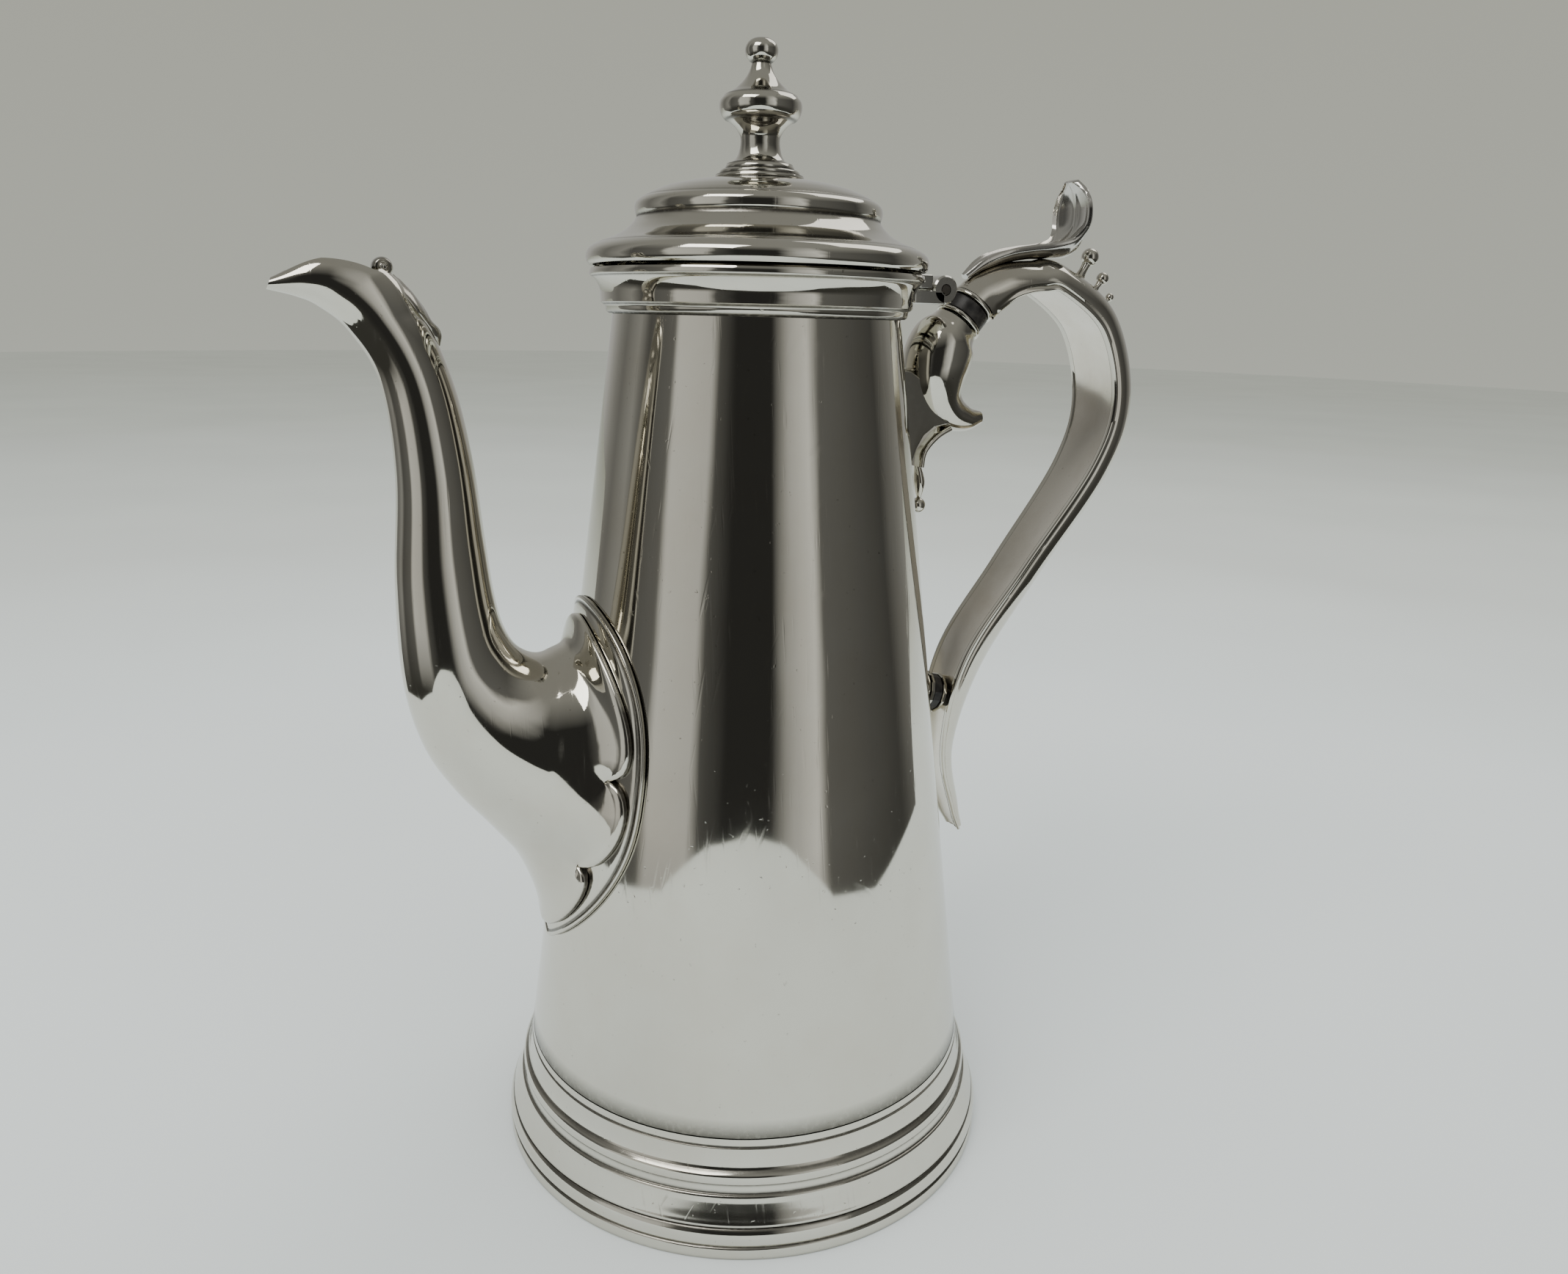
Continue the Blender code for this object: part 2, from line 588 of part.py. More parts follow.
def handle_frames(count):
    """Centre, outward normal, half width, half thickness and edge angle of each section."""
    start, direction = top_joint()
    knots = [(start.x, start.z, 2 * TOP_JOINT_R, 2 * TOP_JOINT_R)]
    for out, drop, width, thick in HANDLE_STATIONS:
        x, z = beside_body(out, drop)
        knots.append((x, z, width, thick))
    points = smooth_curve(knots, count)
    tangents = np.gradient(points[:, :2], axis=0)
    tangents[0] = (direction.x, direction.z)
    frames = []
    for step, ((x, z, width, thick), (tx, tz)) in enumerate(zip(points, tangents)):
        length = math.hypot(tx, tz)
        opened = min(1.0, step / (HANDLE_OPENING * (count - 1)))
        edge = math.radians(ROUND_EDGE + (FLAT_EDGE - ROUND_EDGE) * opened)
        frames.append((Vector((x, 0, z)), Vector((-tz / length, 0, tx / length)), width / 2, thick / 2, edge))
    return frames


def section_arc(frame, inset, count):
    """The open, rounded back of a section, from edge to edge, with its inner side cut flat."""
    centre, normal, half_width, half_thick, edge = frame
    rise = 2 * half_thick / (1 + math.sin(edge))
    middle = rise * math.sin(edge) - half_thick
    end = math.asin(min(0.97, rise * math.sin(edge) / (rise - inset)))
    wide = half_width - inset
    return [centre + Vector((0, wide * math.cos(a), 0)) + normal * (middle + (rise - inset) * math.sin(a))
            for a in np.linspace(-end, math.pi + end, count)]


def make_handle():
    """A stamped, rounded back with a flat strip let in between its edges."""
    frames = handle_frames(34)
    back_rings, strip_rings = [], []
    for frame in frames:
        centre, normal, half_width, half_thick, edge = frame
        wall = min(HANDLE_WALL, 0.4 * half_thick)
        inner = section_arc(frame, wall, 7)
        back_rings.append(section_arc(frame, 0.0, 9) + inner[::-1])
        reach = max(abs(inner[0].y) - CLEARANCE, 0.5)
        low = -half_thick
        strip = min(HANDLE_STRIP, 0.35 * half_thick)
        strip_rings.append([centre + Vector((0, reach * y, 0)) + normal * (low + up) for y, up in
                            ((-1, 0), (0, -0.2), (1, 0), (0.94, strip), (-0.94, strip))])
    back = piece("handle_back", lofted(back_rings))
    strip = piece("handle_inner_strip", lofted(strip_rings))
    return back, strip


def tube(stations, segments, flatten=1.0):
    """A round rod along (x, z, radius) stations in the plane of symmetry."""
    points = np.array(stations)
    tangents = np.gradient(points[:, :2], axis=0)
    rings = []
    for (x, z, radius), (tx, tz) in zip(points, tangents):
        length = math.hypot(tx, tz)
        rings.append([(x - tz / length * radius * math.cos(a), flatten * radius * math.sin(a),
                       z + tx / length * radius * math.cos(a))
                      for a in np.linspace(0, 2 * math.pi, segments, endpoint=False)])
    return lofted(rings)


def joint_disc(name, start, direction, near, far, bore=0.0, radius=TOP_JOINT_R, colour=SILVER):
    """A ring or disc about a joint's line, with softened rims, between two distances from its start."""
    soften = 0.18 * (far - near)
    profile = [(bore, near), (radius - soften, near), (radius, near + soften), (radius, far - soften),
               (radius - soften, far), (bore, far)]
    metallic, roughness = (1.0, 0.15) if colour == SILVER else (0.0, 0.45)
    return piece(name, turned(profile, start, direction, SMALL_SEGMENTS), colour, roughness, metallic)


def insulator(name, start, direction, near, far, radius, low_spigot, high_spigot):
    """A dark block with a spigot on each side, one in the socket and one in the handle."""
    profile = [(0, near - low_spigot), (SPIGOT_R, near - low_spigot), (SPIGOT_R, near), (radius, near),
               (radius, far), (SPIGOT_R, far), (SPIGOT_R, far + high_spigot), (0, far + high_spigot)]
    return piece(name, turned(profile, start, direction, SMALL_SEGMENTS), BLACK, 0.45, 0.0)


def cross_pin(name, point, from_y, to_y, holders):
    """A silver pin driven in from the far side, through each holder."""
    start = (point.x, from_y, point.z)
    for thing in holders:
        drill(thing, (point.x, from_y + 3.0, point.z), (0, -1, 0), CROSS_PIN_R + 0.5 * CLEARANCE,
              from_y + 3.0 - to_y + CLEARANCE, f"{name}_hole_{thing.name}")
    piece(name, turned([(0, 0), (CROSS_PIN_R, 0), (CROSS_PIN_R, from_y - to_y), (0, from_y - to_y)],
                       start, (0, -1, 0), 10), OLD_SILVER, 0.3)


# Upper socket: (out, drop, radius) from its mouth to the lip of the horn
SOCKET_STATIONS = [(16.2, 13.3, 7.6), (13.9, 17.3, 7.9), (12.9, 21.8, 7.3), (13.8, 26.3, 6.0),
                   (17.0, 29.4, 4.3), (21.2, 30.9, 2.9), (25.2, 30.7, 1.5)]
BRACKET_OUTLINE = [(-3.0, 19.3), (8.7, 20.3), (13.6, 26.3), (14.9, 31.5), (10.0, 32.5), (7.1, 34.3),
                   (4.8, 37.5), (3.3, 40.8), (1.6, 44.3), (-5.0, 44.3)]
STRAP_LINE = [(15.2, 34.6), (11.2, 36.2), (7.6, 39.0), (6.1, 41.6)]
BRACKET_HALF_WIDTH = 4.2
STRAP_HALF_WIDTH = 3.0
STRAP_THICK = 1.1
DROP_LINE = [(7.4, 43.3, 0.7), (7.3, 45.6, 1.3), (7.0, 48.6, 0.6)]
DROP_BEAD = (6.6, 51.1, 1.9)


def make_upper_joint(handle_back):
    """Socket, ring, insulator, ring, and the bracket that carries them on the body."""
    start, direction = top_joint()
    distances = [CLEARANCE, CLEARANCE + RING_THICK]
    distances += [distances[-1] + CLEARANCE, distances[-1] + CLEARANCE + INSULATOR_LENGTH]
    distances += [distances[-1] + CLEARANCE, distances[-1] + CLEARANCE + RING_THICK]
    down = -direction
    bore = SPIGOT_R + CLEARANCE
    joint_disc("handle_top_ring", start, down, distances[0], distances[1], bore, TOP_JOINT_R + 0.4)
    block = insulator("upper_insulator", start, down, distances[2], distances[3], TOP_JOINT_R,
                      SPIGOT_LENGTH, SPIGOT_LENGTH)
    joint_disc("upper_socket_ring", start, down, distances[4], distances[5], bore, TOP_JOINT_R + 0.5)

    mouth = start + down * (distances[5] + 2 * CLEARANCE)
    inside = mouth + down * 1.5
    stations = [(mouth.x, mouth.z, TOP_JOINT_R + 0.2), (inside.x, inside.z, TOP_JOINT_R + 0.5)]
    for out, drop, radius in SOCKET_STATIONS:
        x, z = beside_body(out, drop)
        stations.append((x, z, radius))
    stations = [tuple(s) for s in smooth_curve(stations, 17)]
    socket = piece("upper_socket", tube(stations, 16))
    drill(socket, mouth - down * 2.0, down, bore, 2.0 + SPIGOT_LENGTH, "socket_bore")
    low_pin = start + down * (distances[3] + 0.75 * SPIGOT_LENGTH)
    cross_pin("upper_socket_pin", low_pin, TOP_JOINT_R - 0.1, -0.8 * SPIGOT_R, [socket, block])
    high_pin = start + down * (distances[2] - 0.72 * SPIGOT_LENGTH)
    cross_pin("handle_top_pin", high_pin, TOP_JOINT_R - 0.1, -0.8 * SPIGOT_R, [handle_back, block])

    outline = [beside_body(out, drop) for out, drop in BRACKET_OUTLINE]
    bracket = piece("handle_bracket", slab(outline, BRACKET_HALF_WIDTH))
    grown = [(x, z, radius + CLEARANCE) for x, z, radius in stations]
    combine(bracket, piece("socket_room", tube(grown, 16), None), "DIFFERENCE")
    combine(bracket, cone_cutter("bracket_seat", CLEARANCE), "DIFFERENCE")

    line = smooth_curve([beside_body(out, drop) for out, drop in STRAP_LINE], 10)
    slopes = np.gradient(line, axis=0)
    rings = []
    for (x, z), (tx, tz) in zip(line, slopes):
        nx, nz = np.array((-tz, tx)) / math.hypot(tx, tz) * STRAP_THICK / 2
        rings.append([(x + s * nx, w * STRAP_HALF_WIDTH, z + s * nz) for s, w in
                      ((1, -1), (1, 1), (-1, 1), (-1, -1))])
    piece("bracket_strap", lofted(rings))
    drop_line = [(*beside_body(out, drop), radius) for out, drop, radius in DROP_LINE]
    piece("bracket_drop", tube(smooth_curve(drop_line, 8), 10, 1.8))
    x, z = beside_body(DROP_BEAD[0], DROP_BEAD[1])
    piece("bracket_drop_bead", bead((x, 0, z), DROP_BEAD[2]))


def bead(centre, radius):
    shape = bmesh.new()
    bmesh.ops.create_uvsphere(shape, u_segments=12, v_segments=7, radius=radius)
    bmesh.ops.translate(shape, verts=shape.verts, vec=centre)
    return shape


def make_lower_joint(handle_strip):
    """The hidden joint near the handle's tail: socket on the body, ring, insulator and ring."""
    frames = handle_frames(400)
    height = BODY_HEIGHT - LOW_JOINT_DROP
    centre, normal, _, half_thick, _ = min(frames[200:], key=lambda f: abs(f[0].z - height))
    face = centre - normal * half_thick
    down = -normal
    distances = [2 * CLEARANCE, 2 * CLEARANCE + RING_THICK]
    distances += [distances[-1] + CLEARANCE, distances[-1] + CLEARANCE + LOW_INSULATOR_LENGTH]
    distances += [distances[-1] + CLEARANCE, distances[-1] + CLEARANCE + RING_THICK]
    bore = SPIGOT_R + CLEARANCE
    joint_disc("handle_lower_ring", face, down, distances[0], distances[1], bore, LOW_JOINT_R)
    block = insulator("lower_insulator", face, down, distances[2], distances[3], LOW_JOINT_R - 0.3,
                      distances[2] + 0.6 * half_thick, distances[5] - distances[3] + LOW_SPIGOT)
    joint_disc("lower_socket_ring", face, down, distances[4], distances[5], bore, LOW_JOINT_R + 0.1)
    mouth = face + down * (distances[5] + CLEARANCE)
    reach = 2.5 * LOW_SPIGOT
    profile = [(0, 0), (LOW_JOINT_R - 0.3, 0), (LOW_JOINT_R, 1.0), (LOW_JOINT_R + 1.6, reach), (0, reach)]
    socket = piece("lower_socket", turned(profile, mouth, down, SMALL_SEGMENTS))
    combine(socket, cone_cutter("lower_socket_seat", CLEARANCE), "DIFFERENCE")
    drill(socket, mouth - down * 2.0, down, bore, 2.0 + LOW_SPIGOT + CLEARANCE, "lower_socket_bore")
    drill(handle_strip, face + down * 3.0, -down, bore, 3.0 + 2 * HANDLE_STRIP, "strip_hole")
    pin = mouth + down * 0.5 * LOW_SPIGOT
    cross_pin("lower_socket_pin", pin, LOW_JOINT_R - 0.1, -0.8 * SPIGOT_R, [socket, block])


# Leaf thumb rest: (out, drop), half width and thickness, from its root to its curled top
LEAF_STATIONS = [(22.9, -0.9, 1.2, 0.9), (28.0, -4.1, 2.4, 1.3), (34.0, -6.2, 3.6, 1.5), (40.0, -7.0, 4.0, 1.5),
                 (46.0, -7.7, 4.4, 1.4), (51.5, -9.2, 5.4, 1.3), (55.2, -12.8, 6.8, 1.2),
                 (56.2, -17.6, 7.1, 1.1), (55.6, -21.6, 5.4, 1.1), (54.2, -24.0, 2.4, 1.1)]
LEAF_DISH = 0.22
# Beads down the handle's back: place along it, radius, length of the peg each stands on
BEADS = [(0.37, 2.1, 3.2), (0.393, 1.5, 2.0), (0.41, 1.0, 1.0)]


def bead_on_peg(foot, direction, radius, peg):
    """A ball on the thin peg that it was cast with."""
    ball = [(radius * math.cos(a), peg + radius * (1 + math.sin(a))) for a in np.radians((-60, -30, 0, 30, 60))]
    profile = [(0, 0), (0.6 * radius, 0), (0.42 * radius, 0.5 * peg)] + ball + [(0, peg + 2 * radius)]
    return turned(profile, foot, direction, 12)


def make_leaf_and_beads():
    knots = [(*beside_body(out, drop), width, thick) for out, drop, width, thick in LEAF_STATIONS]
    points = smooth_curve(knots, 22)
    slopes = np.gradient(points[:, :2], axis=0)
    rings = []
    for (x, z, width, thick), (tx, tz) in zip(points, slopes):
        normal = np.array((-tz, tx)) / math.hypot(tx, tz)
        across = np.linspace(-1, 1, 7)
        upper = [(x + normal[0] * (LEAF_DISH * width * a * a + thick), width * a,
                  z + normal[1] * (LEAF_DISH * width * a * a + thick)) for a in across]
        lower = [(x + normal[0] * LEAF_DISH * width * a * a, width * a * 0.97,
                  z + normal[1] * LEAF_DISH * width * a * a) for a in across[::-1]]
        rings.append(upper + lower)
    piece("thumb_leaf", lofted(rings))
    frames = handle_frames(401)
    for number, (place, radius, peg) in enumerate(BEADS, 1):
        centre, normal, _, half_thick, _ = frames[int(400 * place)]
        foot = centre + normal * (half_thick + CLEARANCE)
        piece(f"handle_bead_{number}", bead_on_peg(foot, normal, radius, peg))


clear_scene()
make_body()
make_base()
make_foot()
make_collar()
make_lid()
make_bezel()
make_finial()
make_finial_fixing()
make_hinge()
make_spout()
make_crest()
back, strip = make_handle()
make_upper_joint(back)
make_lower_joint(strip)
make_leaf_and_beads()
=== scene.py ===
"""The silver coffee pot's looks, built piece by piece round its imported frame.

Sizes are in millimetres and become metres as each mesh is made. +Z is up, the spout points along -X and the
handle along +X.
"""

import json
import math

import bmesh
import bpy
import numpy as np
from mathutils import Matrix, Vector

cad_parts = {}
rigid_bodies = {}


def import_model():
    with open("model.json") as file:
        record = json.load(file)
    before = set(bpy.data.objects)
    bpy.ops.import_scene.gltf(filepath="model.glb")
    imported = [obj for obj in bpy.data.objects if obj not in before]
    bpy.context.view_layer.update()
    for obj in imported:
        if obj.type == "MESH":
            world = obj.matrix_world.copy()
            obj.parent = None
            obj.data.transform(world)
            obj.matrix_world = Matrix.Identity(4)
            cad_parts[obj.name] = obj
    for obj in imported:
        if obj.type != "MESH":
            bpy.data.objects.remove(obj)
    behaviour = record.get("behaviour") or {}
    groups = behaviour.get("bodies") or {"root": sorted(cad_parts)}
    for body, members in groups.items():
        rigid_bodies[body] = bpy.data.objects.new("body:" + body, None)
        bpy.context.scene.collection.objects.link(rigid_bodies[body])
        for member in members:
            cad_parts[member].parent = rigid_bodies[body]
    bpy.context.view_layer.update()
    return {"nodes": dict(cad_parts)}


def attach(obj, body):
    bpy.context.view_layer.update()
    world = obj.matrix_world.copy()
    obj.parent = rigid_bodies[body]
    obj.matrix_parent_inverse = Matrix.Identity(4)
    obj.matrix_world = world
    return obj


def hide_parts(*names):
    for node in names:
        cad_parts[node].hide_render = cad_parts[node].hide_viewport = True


for thing in list(bpy.data.objects):
    bpy.data.objects.remove(thing, do_unlink=True)
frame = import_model()


# Table, room and camera ---------------------------------------------------------------------------
# The pot stands on a pale paper-covered table in a plain studio. Grey panels and dark flags stand
# round it, so that the polished metal has something to reflect, and two soft lamps hang above.

def millimetres(*values):
    return Vector(values) * 0.001


def add_camera():
    lens = bpy.data.cameras.new("camera")
    lens.sensor_width = 36.0
    lens.lens = 26.771
    lens.clip_start = 0.01
    camera = bpy.data.objects.new("camera", lens)
    camera.location = millimetres(-104.9, -235.6, 188.7)
    camera.rotation_euler = [math.radians(a) for a in (74.838, -1.375, -25.276)]
    bpy.context.scene.collection.objects.link(camera)
    bpy.context.scene.camera = camera


def node(tree, kind, inputs=(), links=(), **settings):
    """Adds a node, sets its plain inputs, and links other sockets into it."""
    made = tree.nodes.new(kind)
    for name, value in settings.items():
        setattr(made, name, value)
    for name, value in dict(inputs).items():
        made.inputs[name].default_value = value
    for name, socket in dict(links).items():
        tree.links.new(socket, made.inputs[name])
    return made


def noise(tree, where, scale, detail, roughness=0.5):
    """Cloudy noise at a place, from 0 to 1."""
    made = node(tree, "ShaderNodeTexNoise", {"Scale": scale, "Detail": detail, "Roughness": roughness},
                {"Vector": where})
    return made.outputs["Fac"]


def calculate(tree, operation, *values, clamp=False):
    """A Math node's result, from sockets or plain numbers."""
    made = tree.nodes.new("ShaderNodeMath")
    made.operation = operation
    made.use_clamp = clamp
    for slot, value in enumerate(values):
        if isinstance(value, (int, float)):
            made.inputs[slot].default_value = value
        else:
            tree.links.new(value, made.inputs[slot])
    return made.outputs[0]


def ramp(tree, factor, stops):
    """A colour ramp's colour, from (place, (r, g, b)) stops."""
    made = tree.nodes.new("ShaderNodeValToRGB")
    points = made.color_ramp.elements
    while len(points) < len(stops):
        points.new(0.5)
    for point, (place, colour) in zip(points, stops):
        point.position = place
        point.color = (*colour, 1.0)
    tree.links.new(factor, made.inputs[0])
    return made.outputs["Color"]


def mixed(tree, factor, first, second, blend="MIX"):
    """A colour mix of sockets or plain colours."""
    made = tree.nodes.new("ShaderNodeMix")
    made.data_type = "RGBA"
    made.blend_type = blend
    for slot, value in ((0, factor), (6, first), (7, second)):
        if isinstance(value, (int, float)):
            made.inputs[slot].default_value = value
        elif isinstance(value, tuple):
            made.inputs[slot].default_value = (*value, 1.0)
        else:
            tree.links.new(value, made.inputs[slot])
    return made.outputs[2]


def add_room():
    """A studio round the pot: soft grey panels with dark flags between them, and a plain backdrop."""
    world = bpy.data.worlds.new("room")
    world.use_nodes = True
    bpy.context.scene.world = world
    tree = world.node_tree
    tree.nodes.clear()
    direction = node(tree, "ShaderNodeTexCoord").outputs["Generated"]
    sway = noise(tree, direction, 3.0, 4.0)
    parts = node(tree, "ShaderNodeSeparateXYZ", links={"Vector": direction})
    height = parts.outputs["Z"]
    front = -114
    turn = calculate(tree, "ARCTAN2", parts.outputs["Y"], parts.outputs["X"])
    turn = calculate(tree, "MULTIPLY_ADD", turn, 1 / (2 * math.pi), 0.5 - front / 360)
    turn = calculate(tree, "MULTIPLY_ADD", sway, 0.03, calculate(tree, "SUBTRACT", turn, 0.015))
    turn = calculate(tree, "FRACT", turn)
    panels = [(-180, 0.50), (-150, 0.45), (-120, 0.18), (-100, 0.30), (-90, 0.10), (-65, 0.15), (-60, 0.70),
              (-35, 0.60), (-28, 0.10), (-15, 0.03), (12, 0.03), (25, 0.50), (40, 0.80), (48, 0.14),
              (100, 0.07), (130, 0.30), (180, 0.50)]
    walls = ramp(tree, turn, [(0.5 + angle / 360, (grey, grey, 0.95 * grey)) for angle, grey in panels])
    ceiling = calculate(tree, "MULTIPLY_ADD", height, 2.4, -0.9, clamp=True)
    walls = mixed(tree, ceiling, walls, (0.30, 0.30, 0.28))
    shade = calculate(tree, "MULTIPLY_ADD", height, -5.0, -1.0, clamp=True)
    walls = mixed(tree, shade, walls, (0.05, 0.05, 0.045))
    backdrop = ramp(tree, calculate(tree, "MULTIPLY_ADD", height, 1.0, 0.3, clamp=True),
                    [(0.0, (0.56, 0.58, 0.53)), (0.3, (0.47, 0.48, 0.42)), (0.7, (0.42, 0.42, 0.35))])
    path = node(tree, "ShaderNodeLightPath")
    light = mixed(tree, path.outputs["Is Camera Ray"], walls, backdrop)
    light = mixed(tree, path.outputs["Is Diffuse Ray"], light, (1.0, 1.04, 1.04))
    shine = node(tree, "ShaderNodeBackground", {"Strength": 1.0}, {"Color": light})
    node(tree, "ShaderNodeOutputWorld", links={"Surface": shine.outputs[0]})


def add_light(name, place, aim, size, power, colour):
    lamp = bpy.data.lights.new(name, "AREA")
    lamp.shape = "RECTANGLE"
    lamp.size, lamp.size_y = size
    lamp.energy = power
    lamp.color = colour
    thing = bpy.data.objects.new(name, lamp)
    thing.location = place
    thing.rotation_euler = (Vector(aim) - Vector(place)).to_track_quat("-Z", "Y").to_euler()
    bpy.context.scene.collection.objects.link(thing)


def add_table():
    """A plain paper-covered top: its near edge curves round the pot, and it widens out behind. Its colour
    holds a painted pool of light near the pot and painted shade far off.
    """
    edge = [(0, 0.56), (20, 0.50), (45, 0.34), (70, 0.30), (110, 0.33), (125, 1.0), (130, 4.5), (180, 7.0)]
    away = math.radians(-114)
    shape = bmesh.new()
    outline = []
    for turn in np.arange(-180, 180, 1.5):
        reach = float(np.interp(abs(turn), *zip(*edge)))
        angle = away + math.radians(turn)
        outline.append(shape.verts.new((reach * math.cos(angle), reach * math.sin(angle), 0)))
    shape.faces.new(outline)
    mesh = bpy.data.meshes.new("table")
    shape.to_mesh(mesh)
    shape.free()
    table = bpy.data.objects.new("table", mesh)
    bpy.context.scene.collection.objects.link(table)
    paper = bpy.data.materials.new("table_paper")
    paper.use_nodes = True
    tree = paper.node_tree
    shader = tree.nodes["Principled BSDF"]
    shader.inputs["Roughness"].default_value = 0.8
    shader.inputs["Specular IOR Level"].default_value = 0.1
    where = node(tree, "ShaderNodeTexCoord").outputs["Object"]
    cloud = noise(tree, where, 4.0, 2.0)
    far = node(tree, "ShaderNodeVectorMath", links={"Vector": where}, operation="LENGTH").outputs["Value"]
    # Painted light and shade: the paper is painted lighter near the pot and darker with distance, standing
    # in for the lamps' falloff.
    painted_falloff = ramp(tree, calculate(tree, "MULTIPLY", far, 0.25, clamp=True),
                [(0.0, (0.85, 0.89, 0.885)), (0.1, (0.82, 0.86, 0.85)), (0.2, (0.68, 0.70, 0.66)),
                 (0.5, (0.55, 0.56, 0.505)), (1.0, (0.50, 0.505, 0.44))])
    tint = ramp(tree, cloud, [(0.3, (0.95, 0.95, 0.95)), (0.7, (1.0, 1.0, 1.0))])
    tree.links.new(mixed(tree, 1.0, painted_falloff, tint, "MULTIPLY"), shader.inputs["Base Color"])
    mesh.materials.append(paper)


add_camera()
add_room()
add_table()
add_light("window_light", (-0.9, -0.5, 1.3), (0, 0, 0.1), (0.9, 0.7), 9.0, (1.0, 0.99, 0.95))
add_light("room_light", (1.1, 0.4, 1.5), (0, 0, 0.1), (1.0, 1.0), 5.0, (1.0, 0.98, 0.94))


# Foot ---------------------------------------------------------------------------------------------
# A drawn silver moulding under the body: a stepped fillet, a fat roll, a flared band, a raised ridge
# and a cove. It was soldered round the cone's lower edge. Its grooves and its lowest edge, where it
# stands on the table, are darkened: partly black tarnish and partly painted shade.

def smooth_curve(knots, steps):
    """Points along a smooth curve through the knots, with so many steps from each knot to the next."""
    knots = np.array(knots, float)
    if len(knots) == 2:
        return np.linspace(knots[0], knots[1], steps + 1)
    padded = np.vstack([2 * knots[0] - knots[1], knots, 2 * knots[-1] - knots[-2]])
    found = []
    for i in range(len(knots) - 1):
        a, b, c, d = padded[i:i + 4]
        for t in np.linspace(0, 1, steps, endpoint=False):
            found.append(0.5 * (2 * b + (c - a) * t + (2 * a - 5 * b + 4 * c - d) * t ** 2
                                + (3 * b - a - 3 * c + d) * t ** 3))
    return np.array(found + [knots[-1]])


def finish_mesh(name, shape, body, finish, replaces=(), tarnish_and_shade=None, crease=40):
    """Makes a bmesh in millimetres into a piece of the pot. Its darkening, partly tarnish and partly painted
    shade, is kept as a value per point.
    """
    if tarnish_and_shade is not None:
        layer = shape.verts.layers.float.new("tarnish_and_shade")
        for corner in shape.verts:
            corner[layer] = tarnish_and_shade(corner.co)
    bmesh.ops.remove_doubles(shape, verts=shape.verts, dist=0.002)
    bmesh.ops.recalc_face_normals(shape, faces=shape.faces)
    bmesh.ops.scale(shape, vec=(0.001, 0.001, 0.001), verts=shape.verts)
    mesh = bpy.data.meshes.new(name)
    shape.to_mesh(mesh)
    shape.free()
    mesh.shade_smooth()
    mesh.set_sharp_from_angle(angle=math.radians(crease))
    thing = bpy.data.objects.new(name, mesh)
    bpy.context.scene.collection.objects.link(thing)
    mesh.materials.append(finish)
    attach(thing, body)
    if replaces:
        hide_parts(*replaces)
    return thing


def turned(runs, centre=(0, 0, 0), axis=(0, 0, 1), segments=192, steps=5):
    """Runs of (radius, height) points, each a smooth curve, joined into one closed outline and turned."""
    outline = []
    for run in runs:
        for point in smooth_curve(run, steps):
            if not outline or math.dist(point, outline[-1]) > 1e-4:
                outline.append(tuple(point))
    shape = bmesh.new()
    rings = []
    for r, z in outline:
        if r < 1e-6:
            rings.append([shape.verts.new((0, 0, z))])
        else:
            rings.append([shape.verts.new((r * math.cos(a), r * math.sin(a), z))
                          for a in np.linspace(0, 2 * math.pi, segments, endpoint=False)])
    if len(rings[0]) > 1 and len(rings[-1]) > 1:
        rings.append(rings[0])
    for low, high in zip(rings, rings[1:]):
        for i in range(segments):
            j = (i + 1) % segments
            corners = [low[i % len(low)], low[j % len(low)], high[j % len(high)], high[i % len(high)]]
            corners = list(dict.fromkeys(corners))
            if len(corners) > 2:
                shape.faces.new(corners)
    turn = Vector((0, 0, 1)).rotation_difference(Vector(axis)).to_matrix().to_4x4()
    bmesh.ops.transform(shape, matrix=Matrix.Translation(centre) @ turn, verts=shape.verts)
    return shape


